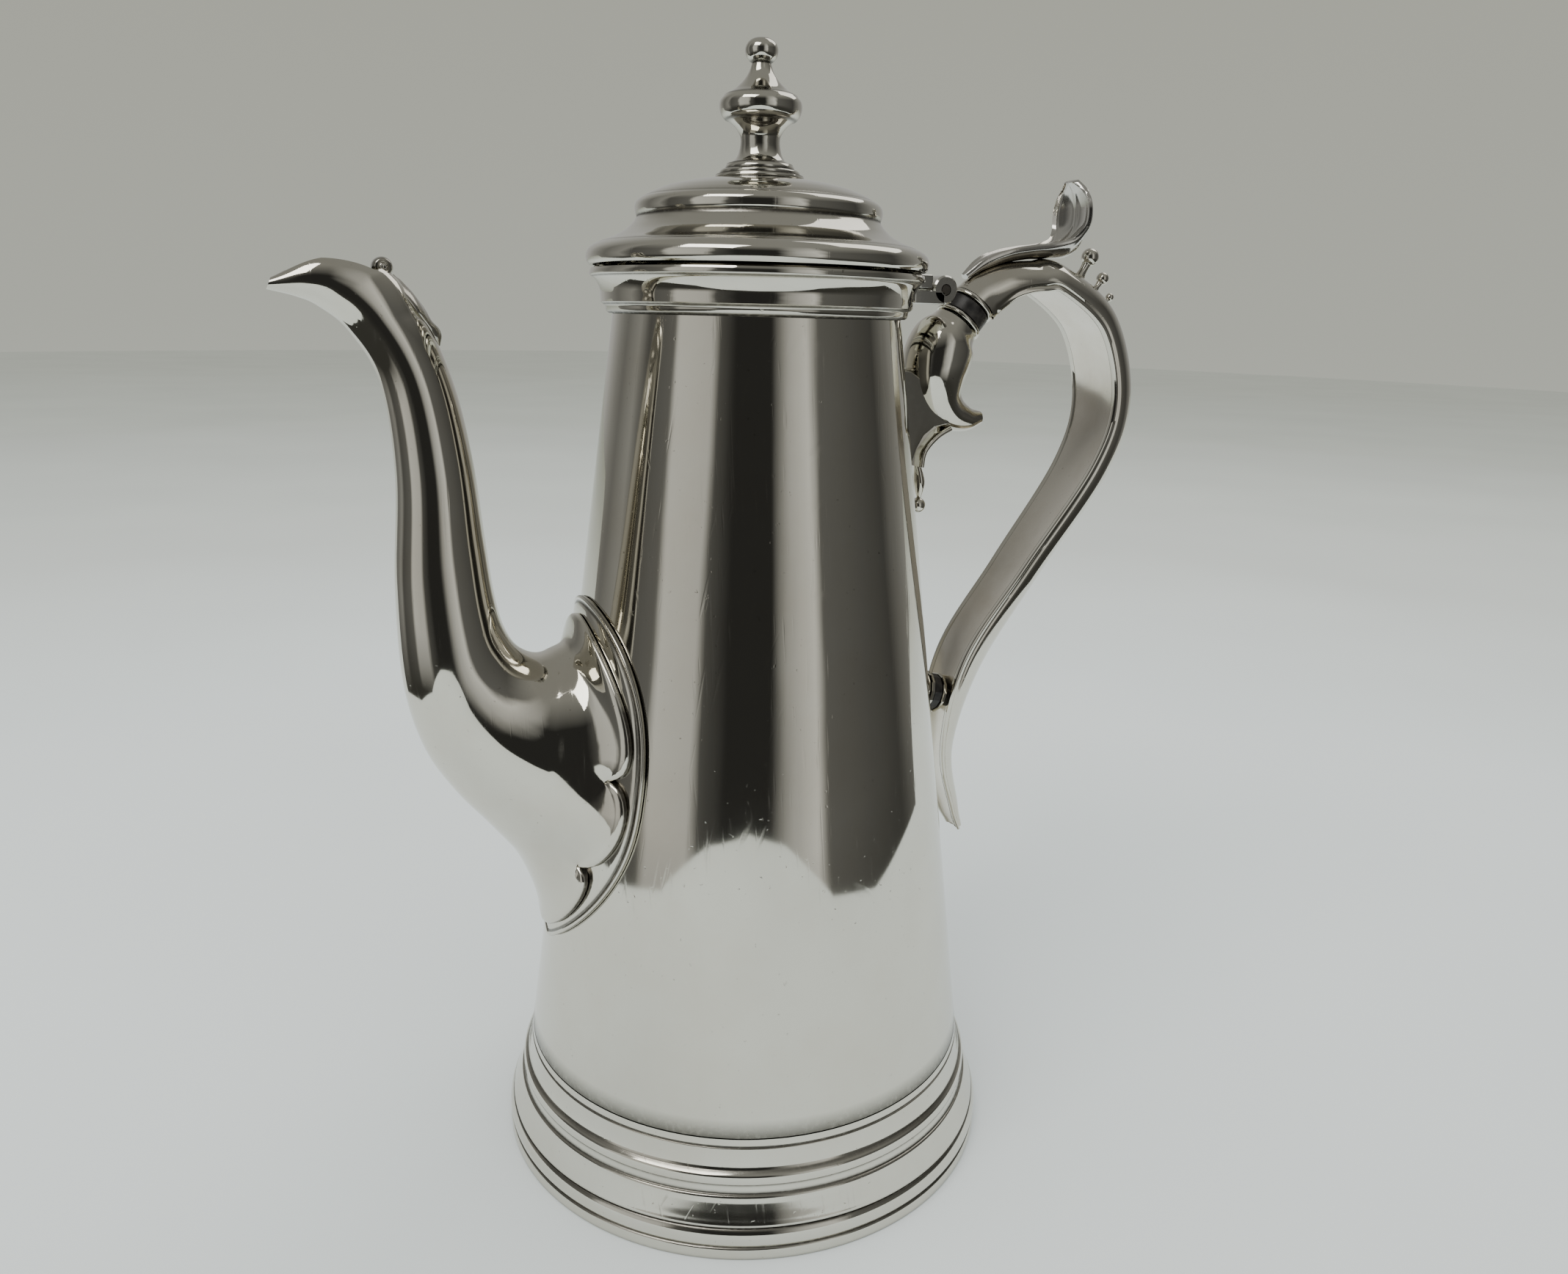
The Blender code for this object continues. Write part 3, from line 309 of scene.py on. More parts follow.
def silver(name, colour=(0.66, 0.64, 0.57), shine=0.04, tarnish=0.25, waver=0.05, wear=1.0):
    """Polished silver: slightly wavy, finely scratched, thinly tarnished, with black in its grooves that is
    partly tarnish and partly painted shade.
    """
    metal = bpy.data.materials.new(name)
    metal.use_nodes = True
    tree = metal.node_tree
    shader = tree.nodes["Principled BSDF"]
    shader.inputs["Metallic"].default_value = 1.0
    where = node(tree, "ShaderNodeTexCoord").outputs["Object"]
    cloud = noise(tree, where, 42.0, 6.0, 0.62)
    speck = noise(tree, where, 900.0, 3.0)
    lines = None
    for turn, stretch in (((0.3, 0.2, 0.5), (1500, 90, 60)), ((1.1, 0.4, -0.7), (80, 1400, 70)),
                          ((0.2, 1.2, 0.1), (1300, 60, 90))):
        laid = node(tree, "ShaderNodeMapping", {"Rotation": turn, "Scale": stretch}, {"Vector": where})
        one = calculate(tree, "MULTIPLY_ADD", noise(tree, laid.outputs[0], 1.0, 1.0), 7.0, -4.6, clamp=True)
        lines = one if lines is None else calculate(tree, "MAXIMUM", lines, one)
    patches = calculate(tree, "MULTIPLY_ADD", cloud, 2.4, -0.75, clamp=True)
    lines = calculate(tree, "MULTIPLY", lines, patches)
    pits = calculate(tree, "MULTIPLY_ADD", speck, 9.0, -6.3, clamp=True)
    # The per-point mask darkens the base towards near black and roughens it: partly tarnish, partly painted
    # shade in grooves, creases and joints.
    tarnish_and_shade = node(tree, "ShaderNodeAttribute", attribute_name="tarnish_and_shade").outputs["Fac"]
    broken = calculate(tree, "MULTIPLY_ADD", speck, 0.9, 0.55, clamp=True)
    tarnish_and_shade = calculate(tree, "MULTIPLY", tarnish_and_shade, broken)
    stain = calculate(tree, "MULTIPLY_ADD", cloud, 3.0 * tarnish, -1.25 * tarnish, clamp=True)
    base = mixed(tree, stain, colour, (0.50, 0.43, 0.33))
    base = mixed(tree, calculate(tree, "MULTIPLY", pits, 0.5 * wear), base, (0.16, 0.14, 0.11))
    base = mixed(tree, tarnish_and_shade, base, (0.035, 0.03, 0.025))
    tree.links.new(base, shader.inputs["Base Color"])
    rough = calculate(tree, "MULTIPLY_ADD", stain, 0.16, shine)
    rough = calculate(tree, "MULTIPLY_ADD", lines, 0.13 * wear, rough)
    rough = calculate(tree, "MULTIPLY_ADD", tarnish_and_shade, 0.35, rough, clamp=True)
    tree.links.new(rough, shader.inputs["Roughness"])
    sheet = noise(tree, where, 30.0, 1.5)
    slow = node(tree, "ShaderNodeBump", {"Strength": 1.0, "Distance": 0.001 * waver}, {"Height": sheet})
    depth = calculate(tree, "ADD", calculate(tree, "MULTIPLY", lines, 0.7), pits)
    fine = node(tree, "ShaderNodeBump", {"Strength": 0.35 * wear, "Distance": 0.00003},
                {"Height": depth, "Normal": slow.outputs[0]}, invert=True)
    tree.links.new(fine.outputs[0], shader.inputs["Normal"])
    return metal


def cone_radius(z):
    """The body's outside radius at a height: a straight taper from 55 mm to 29.4 mm over 198.3 mm."""
    return 55.0 - 25.6 * z / 198.3


def grooves(*places):
    """Darkening that gathers round given heights, partly tarnish and partly painted shade, each (height,
    half width, depth of colour).
    """
    return lambda p: min(1.0, sum(depth * math.exp(-((p.z - z) / width) ** 2)
                                  for z, width, depth in places))


polished = silver("polished_silver")
foot_runs = [
    [(0.0, 2.6), (0.25, 2.85), (0.9, 2.95), (2.3, 3.05), (2.8, 2.75)],
    [(2.8, 2.75), (3.2, 2.95), (3.8, 3.25), (4.6, 3.4), (5.4, 3.4), (6.2, 3.22), (6.8, 2.9), (7.0, 2.55)],
    [(7.0, 2.55), (7.3, 2.85), (8.2, 2.65), (10.0, 2.2), (12.0, 1.72), (13.0, 1.5), (13.3, 1.1)],
    [(13.3, 1.1), (13.6, 0.98), (14.6, 0.92), (15.3, 0.95)],
    [(15.3, 0.95), (15.55, 1.25), (16.4, 1.38), (17.3, 1.28), (17.8, 0.85)],
    [(17.8, 0.85), (18.3, 0.42), (19.6, 0.18), (21.4, 0.06), (22.5, 0.05), (22.75, -0.18)],
    [(22.75, -0.18), (22.95, -0.2), (23.2, 0.0)],
    [(23.2, 0.0), (24.6, 0.0)],
]
foot_runs = [[(cone_radius(z) + proud, z) for z, proud in run] for run in foot_runs]
foot_top, tongue_top, tongue_out, tongue_in = 24.6, 27.6, 1.4, 2.4
corners = [(cone_radius(foot_top), foot_top), (cone_radius(foot_top) - tongue_out, foot_top),
           (cone_radius(tongue_top) - tongue_out, tongue_top),
           (cone_radius(tongue_top) - tongue_in, tongue_top), (cone_radius(0) - tongue_in, 0.0)]
foot_inside = [list(pair) for pair in zip(corners, corners[1:])]
# Dark bands in the grooves and at the lowest edge on the table: partly tarnish, partly painted shade.
foot_grooves = grooves((2.8, 0.22, 0.9), (7.0, 0.3, 1.0), (13.45, 0.35, 0.8), (15.2, 0.25, 0.7),
                       (18.0, 0.3, 0.6), (22.8, 0.22, 0.9), (0.0, 0.5, 0.5))
finish_mesh("foot_moulding_piece", turned(foot_runs + foot_inside), "pot", polished,
            ["foot_moulding"], foot_grooves, 30)


# Body ---------------------------------------------------------------------------------------------
# A tall cone raised from silver sheet, open at the top, with an inset base disc. Behind the spout the
# wall is drilled with a ring pattern of strainer holes, which shows only from inside.

def strainer_tree():
    """Geometry nodes that drill rings of round holes through a wall."""
    tree = bpy.data.node_groups.new("strainer", "GeometryNodeTree")
    tree.interface.new_socket("Geometry", in_out="INPUT", socket_type="NodeSocketGeometry")
    for name in ("Hole Radius", "Hole Pitch", "Strainer Height", "Wall Place"):
        tree.interface.new_socket(name, in_out="INPUT", socket_type="NodeSocketFloat")
    tree.interface.new_socket("Finish", in_out="INPUT", socket_type="NodeSocketMaterial")
    tree.interface.new_socket("Geometry", in_out="OUTPUT", socket_type="NodeSocketGeometry")
    given = node(tree, "NodeGroupInput").outputs
    drill = node(tree, "GeometryNodeMeshCylinder", {"Vertices": 24, "Depth": 0.02},
                 {"Radius": given["Hole Radius"]}).outputs["Mesh"]
    gather = tree.nodes.new("GeometryNodeJoinGeometry")
    for ring in (1, 2):
        radius = calculate(tree, "MULTIPLY", given["Hole Pitch"], float(ring))
        circle = node(tree, "GeometryNodeMeshCircle", {"Vertices": 6 * ring}, {"Radius": radius})
        tree.links.new(circle.outputs["Mesh"], gather.inputs[0])
    centre = node(tree, "GeometryNodeMeshLine", {"Count": 1})
    tree.links.new(centre.outputs["Mesh"], gather.inputs[0])
    placed = node(tree, "GeometryNodeInstanceOnPoints",
                  links={"Points": gather.outputs[0], "Instance": drill})
    spot = node(tree, "ShaderNodeCombineXYZ",
                links={"X": given["Wall Place"], "Z": given["Strainer Height"]})
    turned_in = node(tree, "GeometryNodeTransform", {"Rotation": (0.0, math.pi / 2, 0.0)},
                     {"Geometry": placed.outputs[0], "Translation": spot.outputs[0]})
    cutters = node(tree, "GeometryNodeRealizeInstances", links={"Geometry": turned_in.outputs[0]})
    cut = node(tree, "GeometryNodeMeshBoolean",
               links={"Mesh 1": given["Geometry"], "Mesh 2": cutters.outputs[0]}, operation="DIFFERENCE")
    real = node(tree, "GeometryNodeRealizeInstances", links={"Geometry": cut.outputs["Mesh"]})
    painted = node(tree, "GeometryNodeSetMaterial",
                   links={"Geometry": real.outputs[0], "Material": given["Finish"]})
    node(tree, "NodeGroupOutput", links={"Geometry": painted.outputs[0]})
    return tree


def worked(thing, tree, values):
    """Runs a geometry-nodes tree on a mesh object and keeps only the plain mesh that it makes."""
    step = thing.modifiers.new(tree.name, "NODES")
    step.node_group = tree
    for item in tree.interface.items_tree:
        if item.in_out == "INPUT" and item.name in values:
            step[item.identifier] = values[item.name]
    bpy.context.view_layer.update()
    result = bpy.data.meshes.new_from_object(thing.evaluated_get(bpy.context.evaluated_depsgraph_get()))
    thing.modifiers.remove(step)
    old, thing.data = thing.data, result
    bpy.data.meshes.remove(old)
    return thing


def add_body():
    low, high, wall = 24.9, 198.3, 1.1
    outside = [[(cone_radius(z), z) for z in (low, high)]]
    across_top = [[(cone_radius(high), high), (cone_radius(high) - wall, high)]]
    inside = [[(cone_radius(z) - wall, z) for z in (high, low)]]
    shape = turned(outside + across_top + inside, segments=256, steps=44)
    mesh = bpy.data.meshes.new("body_shell_piece")
    bmesh.ops.recalc_face_normals(shape, faces=shape.faces)
    # A dark band round the body's lower edge, inside the foot: partly tarnish, partly painted shade.
    layer = shape.verts.layers.float.new("tarnish_and_shade")
    for corner in shape.verts:
        corner[layer] = 0.8 * math.exp(-((corner.co.z - low) / 0.5) ** 2)
    bmesh.ops.scale(shape, vec=(0.001, 0.001, 0.001), verts=shape.verts)
    shape.to_mesh(mesh)
    shape.free()
    thing = bpy.data.objects.new("body_shell_piece", mesh)
    bpy.context.scene.collection.objects.link(thing)
    finish = silver("body_silver", waver=0.11, wear=1.2, tarnish=0.22)
    worked(thing, strainer_tree(), {"Hole Radius": 0.0016, "Hole Pitch": 0.0052, "Strainer Height": 0.092,
                                    "Wall Place": -0.0426, "Finish": finish})
    thing.data.shade_smooth()
    thing.data.set_sharp_from_angle(angle=math.radians(30))
    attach(thing, "pot")
    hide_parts("body_shell")


def dress(finish, *names):
    """Gives CAD pieces that keep their shape a better finish."""
    for name in names:
        thing = frame["nodes"][name]
        thing.data.materials.clear()
        thing.data.materials.append(finish)


add_body()
dull = silver("dull_silver", colour=(0.52, 0.50, 0.45), shine=0.3, tarnish=0.6)
dress(dull, "base_disc")


# Rim collar ---------------------------------------------------------------------------------------
# A cast moulding soldered round the body's mouth: a flat rim, a cove that runs in below it and a small
# bead at the bottom, with a dark line where the bead meets the cone.

collar_runs = [
    [(198.6, 5.2), (198.3, 5.62)], [(198.3, 5.62), (197.7, 5.72), (197.1, 5.62), (196.8, 5.2)],
    [(196.8, 5.2), (196.3, 4.5), (195.2, 3.7), (193.8, 3.1), (192.4, 2.85), (191.7, 2.7)],
    [(191.7, 2.7), (191.3, 2.1)], [(191.3, 2.1), (191.0, 1.75), (190.4, 1.55), (189.9, 1.3), (189.5, 0.7)],
    [(189.5, 0.7), (189.5, 0.3)], [(189.5, 0.3), (198.6, 0.3)], [(198.6, 0.3), (198.6, 5.2)]]
collar_runs = [[(cone_radius(z) + proud, z) for z, proud in run] for run in collar_runs]
# Darker bands in the collar's grooves and where the bead meets the cone: partly tarnish, partly painted
# shade.
finish_mesh("rim_collar_piece", turned(collar_runs), "pot", polished, ["rim_collar"],
            grooves((196.75, 0.18, 0.8), (191.35, 0.25, 0.9), (189.6, 0.35, 1.0)), 30)


# Lid ----------------------------------------------------------------------------------------------
# A shallow dome spun from sheet, with a rolled edge, a cove, a second roll and a low crown. A plain
# ring under it drops into the mouth, and the finial's stud goes through the crown to a washer and nut.

lid_runs = [
    [(35.3, 199.1), (35.75, 199.7), (35.9, 200.7), (35.6, 201.8), (34.9, 202.6), (33.9, 203.2)],
    [(33.9, 203.2), (33.5, 203.35), (33.0, 203.6)],
    [(33.0, 203.6), (30.4, 204.6), (28.0, 205.9), (26.4, 207.3), (25.5, 208.5)],
    [(25.5, 208.5), (25.35, 208.9)],
    [(25.35, 208.9), (25.7, 209.6), (25.8, 210.5), (25.6, 211.4), (25.0, 212.1), (24.3, 212.5)],
    [(24.3, 212.5), (23.9, 212.75)],
    [(23.9, 212.75), (22.3, 213.6), (19.5, 214.7), (15.5, 215.7), (11.5, 216.3), (6.0, 216.5),
     (2.2, 216.5)]]
lid_inside = [[(2.2, 216.5), (2.2, 215.6)],
              [(2.2, 215.6), (11.5, 215.4), (19.3, 213.8), (24.0, 211.8), (24.7, 210.3), (24.4, 208.4),
               (27.3, 205.2), (30.0, 203.7), (33.4, 202.2), (34.6, 201.4), (34.9, 200.6), (34.5, 199.1)],
              [(34.5, 199.1), (35.3, 199.1)]]
# Darker bands in the lid's grooves and round the finial's foot: partly tarnish, partly painted shade.
finish_mesh("lid_shell_piece", turned(lid_runs + lid_inside), "lid", polished, ["lid_shell"],
            grooves((203.5, 0.2, 0.35), (208.8, 0.4, 0.9), (212.7, 0.2, 0.4), (216.6, 0.15, 0.6)), 30)
ring = cone_radius(198.3) - 1.1 - 0.7
bezel_runs = [[(ring, 194.1), (ring, 203.1)], [(ring, 203.1), (ring - 0.9, 203.1)],
              [(ring - 0.9, 203.1), (ring - 0.9, 193.7)], [(ring - 0.9, 193.7), (ring - 0.4, 193.7)],
              [(ring - 0.4, 193.7), (ring, 194.1)]]
finish_mesh("lid_bezel_piece", turned(bezel_runs), "lid", polished, ["lid_bezel"], None, 30)


# Finial -------------------------------------------------------------------------------------------
# A cast and turned finial: a stepped foot, a waisted stem, a wide knop, a fine neck and a small ball. The
# stud below it holds it down with a washer and nut.

finial_runs = [
    [(0, 208.9), (1.8, 208.9)], [(1.8, 208.9), (1.8, 216.8)], [(1.8, 216.8), (9.2, 216.8)],
    [(9.2, 216.8), (9.3, 217.0), (9.1, 217.5)], [(9.1, 217.5), (8.4, 217.7)],
    [(8.4, 217.7), (8.3, 218.2), (7.9, 218.5)], [(7.9, 218.5), (7.2, 218.6)],
    [(7.2, 218.6), (7.15, 219.1), (6.8, 219.7)], [(6.8, 219.7), (6.2, 219.8)],
    [(6.2, 219.8), (5.3, 220.4), (4.5, 221.7), (4.08, 223.7), (4.25, 225.2), (5.3, 226.8), (6.6, 227.9)],
    [(6.6, 227.9), (7.4, 228.2)], [(7.4, 228.2), (8.1, 229.0), (8.5, 230.3), (8.35, 231.6), (7.5, 232.7)],
    [(7.5, 232.7), (7.1, 232.9)], [(7.1, 232.9), (5.6, 233.8), (3.8, 235.4), (2.6, 237.1), (1.95, 238.9)],
    [(1.95, 238.9), (2.5, 239.25)],
    [(2.5, 239.25), (3.1, 240.0), (3.4, 241.2), (3.1, 242.3), (2.3, 243.15), (1.2, 243.55), (0, 243.64)]]
# Darker bands in the finial's grooves and a broad one round its waisted stem: partly tarnish, partly painted
# shade.
finish_mesh("finial_piece", turned(finial_runs, segments=96), "lid", polished, ["finial"],
            grooves((217.6, 0.2, 1.0), (218.6, 0.2, 1.0), (219.8, 0.25, 1.0), (228.1, 0.25, 0.8),
                    (232.8, 0.2, 0.7), (239.0, 0.3, 0.9), (223.7, 1.6, 0.25)), 32)
dress(dull, "finial_washer", "finial_nut")


# Spout --------------------------------------------------------------------------------------------
# A swan-neck spout seamed from sheet. Its root swells and is cut to three lobes a side, with a raised
# edge, and is soldered over a shaped shield. The beak is open above, with a thin turned lip.

def beside_body(out, drop):
    """A point in the plane of symmetry, by its distance from the wall and below the mouth."""
    z = 198.3 - drop
    return cone_radius(z) + out, z


def skin(rings, ends=True):
    """A surface through rings of equal point counts."""
    shape = bmesh.new()
    rows = [[shape.verts.new(p) for p in ring] for ring in rings]
    count = len(rows[0])
    for low, high in zip(rows, rows[1:]):
        for i in range(count):
            j = (i + 1) % count
            shape.faces.new((low[i], low[j], high[j], high[i]))
    if ends:
        for row in (rows[0], rows[-1]):
            centre = shape.verts.new(sum((v.co for v in row), Vector()) / count)
            for i in range(count):
                shape.faces.new((row[i], row[(i + 1) % count], centre))
    return shape


spout_line = [
    (3.0, 71.3, 3.4, 134.8, 18.8), (5.3, 77.1, 9.1, 124.3, 17.0), (9.3, 78.7, 16.7, 115.3, 14.8),
    (14.2, 76.5, 24.7, 106.5, 12.6), (17.8, 71.5, 31.7, 96.3, 11.0), (20.4, 64.3, 36.8, 82.3, 10.0),
    (23.0, 53.8, 39.8, 62.3, 8.8), (26.9, 37.4, 41.3, 40.3, 7.8), (32.1, 21.8, 45.2, 22.8, 7.0),
    (39.0, 9.3, 51.4, 13.3, 6.2), (46.5, 3.3, 56.9, 9.0, 5.3), (56.4, 1.7, 60.8, 7.4, 4.0),
    (65.0, 5.0, 65.7, 6.3, 1.5)]
ROOT_END = 1.35
MOUTH = 9.9
SPOUT_WALL = 1.0
SPOUT_COUNT = 128
SPOUT_STEPS = 14


def lobe_half_width(z):
    """Half the width of the spout's root on the shield: three lobes a side, with cusps between them."""
    cusps = [(127.5, 0.0, 0.0), (97.0, 18.6, 11.0), (76.0, 13.2, 8.2), (57.5, 0.0, 7.0)]
    for (high, wide, _), (low, narrow, bulge) in zip(cusps, cusps[1:]):
        if low <= z <= high:
            t = (high - z) / (high - low)
            return wide + (narrow - wide) * t + bulge * math.sqrt(max(1 - (2 * t - 1) ** 2, 0))
    return 0.0


def on_wall(arc, z, proud, side=-1):
    angle = arc / cone_radius(z)
    r = cone_radius(z) + proud
    return Vector((side * r * math.cos(angle), r * math.sin(angle), z))


def spaced(points, count):
    """The same line with its points evenly spaced."""
    points = np.array(points, float)
    travel = np.concatenate([[0], np.cumsum(np.linalg.norm(np.diff(points, axis=0), axis=1))])
    return np.array([[np.interp(s, travel, points[:, k]) for k in range(points.shape[1])]
                     for s in np.linspace(0, travel[-1], count)])


def lobed_outline(proud, shrink=0.0):
    """The root's edge on the wall, from the top point down one side and up the other."""
    middle, reach = 92.5, 35.0
    heights = middle + reach * np.cos(np.linspace(0, math.pi, 600))
    half = [(max(lobe_half_width(z) - shrink, 0.0), middle + (z - middle) * (1 - shrink / reach))
            for z in heights]
    half[0], half[-1] = (0.0, half[0][1]), (0.0, half[-1][1])
    half = spaced(half, SPOUT_COUNT // 2 + 1)
    line = [on_wall(a, z, proud) for a, z in half]
    return line + [on_wall(-a, z, proud) for a, z in half[-2:0:-1]]


def spout_section(place, station, inset=0.0):
    """One section of the spout or, inset, of its channel. Past the mouth its sides stand up as lips."""
    back_out, back_drop, front_out, front_drop, width = station
    bx, bz = beside_body(back_out, back_drop)
    fx, fz = beside_body(front_out, front_drop)
    back, front = Vector((-bx, 0, bz)), Vector((-fx, 0, fz))
    beak = min(max((place - MOUTH + 0.9) / 0.9, 0.0), 1.0) * (1 - 0.55 * max(place - 11.0, 0.0))
    back.z += 1.75 * beak
    toward = (front - back).normalized()
    take = min(inset, 0.3 * (front - back).length)
    back, front = back + toward * take, front - toward * take
    width = max(width - inset, 0.3 * width)
    if inset and place > MOUTH:
        back -= toward * 5.0 * min((place - MOUTH) / 0.12, 1.0)
    square = 1 - 0.45 * beak
    middle, half = (back + front) / 2, (front - back) / 2
    ring = []
    for a in np.linspace(0, 2 * math.pi, SPOUT_COUNT, endpoint=False):
        along, across = -math.cos(a), math.sin(a)
        if along < 0:
            across = math.copysign(abs(across) ** square, across)
        ring.append(middle + half * along + Vector((0, width * across, 0)))
    return ring


def eased(ring, times):
    """A ring with its corners softened."""
    points = np.array(ring)
    for _ in range(times):
        points = 0.5 * points + 0.25 * (np.roll(points, 1, axis=0) + np.roll(points, -1, axis=0))
    return [Vector(p) for p in points]


def spout_skin():
    """The spout's outside, from the lobed edge on the shield to the beak."""
    stations = smooth_curve(spout_line, SPOUT_STEPS)
    places = np.arange(len(stations)) / SPOUT_STEPS
    bodies = [spout_section(place, station) for place, station in zip(places, stations)
              if place >= ROOT_END]
    root = [lobed_outline(1.55), lobed_outline(2.35), lobed_outline(2.62, 0.18), lobed_outline(2.85, 0.6)]
    start = lobed_outline(3.0, 1.1)
    middle = sum(start, Vector()) / SPOUT_COUNT
    for t in np.linspace(0, 1, 26)[:-1]:
        ring = []
        for p, q, r in zip(start, bodies[0], bodies[1]):
            leave = (middle - p) * 0.35 + Vector((-4.5, 0, 0))
            arrive = (r - q).normalized() * 12.0
            h = (2 * t ** 3 - 3 * t ** 2 + 1, t ** 3 - 2 * t ** 2 + t,
                 -2 * t ** 3 + 3 * t ** 2, t ** 3 - t ** 2)
            ring.append(p * h[0] + leave * h[1] + q * h[2] + arrive * h[3])
        root.append(eased(ring, int(80 * t * (1 - t))))
    return skin(root + bodies)


def spout_channel():
    stations = smooth_curve(spout_line, SPOUT_STEPS)
    places = np.arange(len(stations)) / SPOUT_STEPS
    rings = [spout_section(place, station, SPOUT_WALL) for place, station in zip(places, stations)
             if ROOT_END <= place <= 11.75]
    inside = [p + Vector((14.0, 0, 0)) for p in rings[0]]
    return skin([inside] + rings)


def carved(name, shape, cutter):
    """The first shape with the second cut out of it, as a bmesh in millimetres."""
    parts = []
    for part, label in ((shape, name), (cutter, name + "_cutter")):
        bmesh.ops.remove_doubles(part, verts=part.verts, dist=0.002)
        bmesh.ops.recalc_face_normals(part, faces=part.faces)
        mesh = bpy.data.meshes.new(label)
        part.to_mesh(mesh)
        part.free()
        parts.append(bpy.data.objects.new(label, mesh))
        bpy.context.scene.collection.objects.link(parts[-1])
    cut = parts[0].modifiers.new("cut", "BOOLEAN")
    cut.operation = "DIFFERENCE"
    cut.object = parts[1]
    bpy.context.view_layer.update()
    result = bmesh.new()
    result.from_object(parts[0], bpy.context.evaluated_depsgraph_get())
    for part in parts:
        mesh = part.data
        bpy.data.objects.remove(part, do_unlink=True)
        bpy.data.meshes.remove(mesh)
    return result


# A dark line round the root's lobed edge, where it meets the shield: partly tarnish, partly painted shade.
def root_tarnish_and_shade(p):
    away = abs(abs(math.atan2(p.y, -p.x) * cone_radius(p.z)) - lobe_half_width(p.z))
    proud = math.hypot(p.x, p.y) - cone_radius(p.z)
    return 0.85 * math.exp(-(away / 0.8) ** 2) if proud < 2.5 and 57 < p.z < 112 else 0.0


spout_metal = silver("spout_silver", waver=0.06, tarnish=0.3)
finish_mesh("spout_piece", carved("spout_shape", spout_skin(), spout_channel()), "pot",
            spout_metal, ["spout"], root_tarnish_and_shade, 42)


# Shield -------------------------------------------------------------------------------------------
# A plate cut to a pointed arch and bent to the cone, soldered under the spout's root. A fine raised
# line runs round just inside its edge.

SHIELD_MIDDLE = 92.25
SHIELD_REACH = 38.75
SHIELD_EDGE = ((0.0, 0.3), (0.0, 0.95), (0.15, 1.2), (0.45, 1.3), (0.8, 1.16), (1.0, 1.0), (1.25, 0.96),
               (1.5, 1.05), (1.75, 1.2), (2.2, 1.27), (3.0, 1.3), (7.0, 1.3), (12.0, 1.3))


def shield_half_width(z):
    half = 27.0
    away = abs(z - SHIELD_MIDDLE) / SHIELD_REACH
    if z > SHIELD_MIDDLE:
        return half * math.sqrt(max(1 - away ** 2.3, 0))
    return half * max(1 - away ** 2.2, 0) ** 0.85


def add_shield():
    heights = SHIELD_MIDDLE + SHIELD_REACH * np.cos(np.linspace(0.004, math.pi - 0.004, 500))
    half = spaced([(shield_half_width(z), z) for z in heights], 140)
    edge = np.vstack([half, half[::-1] * (-1, 1)])
    rings = []
    for inset, proud in SHIELD_EDGE:
        ring = []
        for a, z in edge:
            length = math.hypot(a, z - SHIELD_MIDDLE)
            pull = max(1 - inset / max(length, 1.0), 0.0)
            ring.append(on_wall(a * pull, SHIELD_MIDDLE + (z - SHIELD_MIDDLE) * pull, proud))
        rings.append(ring)
    return skin(rings, ends=False)


# The plate's outer edge and the groove inside its raised line are darkened: partly tarnish, partly painted
# shade.
finish_mesh("spout_shield_piece", add_shield(), "pot", spout_metal, ["spout_shield"],
            lambda p: 0.75 if 0.9 < math.hypot(p.x, p.y) - cone_radius(p.z) < 1.06 else 0.0, 50)


# Spout crest --------------------------------------------------------------------------------------
# A small cast leaf laid down the back of the beak, with cut veins. It ends in a rolled scroll behind
# the mouth.

def add_crest():
    stations = smooth_curve(spout_line, 50)
    knots = []
    for place, width, height in ((8.45, 0.5, 0.3), (8.55, 1.5, 1.3), (8.68, 1.9, 1.5), (8.8, 2.6, 0.95),
                                 (9.0, 3.9, 1.0), (9.3, 3.7, 1.15), (9.55, 2.9, 1.3), (9.75, 2.2, 1.6),
                                 (9.9, 1.9, 1.8)):
        knots.append((*stations[int(round(place * 50))][:4], width, height))
    rings = []
    for step, (bo, bd, fo, fd, width, height) in enumerate(smooth_curve(knots, 10)):
        bx, bz = beside_body(bo, bd)
        fx, fz = beside_body(fo, fd)
        up = (Vector((-bx, 0, bz)) - Vector((-fx, 0, fz))).normalized()
        base = Vector((-bx, 0, bz))
        ring = []
        for a in np.linspace(0, math.pi, 41):
            across = math.cos(a)
            vein = 0.10 * math.exp(-(across / 0.12) ** 2)
            vein += 0.07 * max(0.0, math.sin(8 * abs(across) + 0.25 * step))
            lift = height * (math.sin(a) ** 0.7 - vein * math.sin(a))
            ring.append(base + up * (lift - 0.25 * across * across * width)
                        + Vector((0, width * across, 0)))
        ring += [base + up * (-1.0 - 0.2 * width) + Vector((0, 0.8 * width * c, 0))
                 for c in (-0.7, 0.0, 0.7)]
        rings.append(ring)
    return skin(rings)


crest_metal = silver("crest_silver", colour=(0.40, 0.39, 0.35), shine=0.16, tarnish=0.4)
finish_mesh("spout_crest_piece", add_crest(), "pot", crest_metal, ["spout_crest"], None, 45)
scroll_out, scroll_drop = smooth_curve(spout_line, 50)[500][:2]
scroll_x, scroll_z = beside_body(scroll_out, scroll_drop)
scroll_runs = [[(0, -2.4), (0.5, -2.5), (0.7, -2.4)], [(0.7, -2.4), (0.9, -2.2), (1.1, -2.35)],
               [(1.1, -2.35), (1.55, -2.1), (1.85, -1.2), (1.9, 0), (1.85, 1.2), (1.55, 2.1), (1.1, 2.35)],
               [(1.1, 2.35), (0.9, 2.2), (0.7, 2.4)], [(0.7, 2.4), (0.5, 2.5), (0, 2.4)]]
crest_scroll = turned(scroll_runs, (0.4 - scroll_x, 0, scroll_z + 1.5), (0, 1, 0), 48)
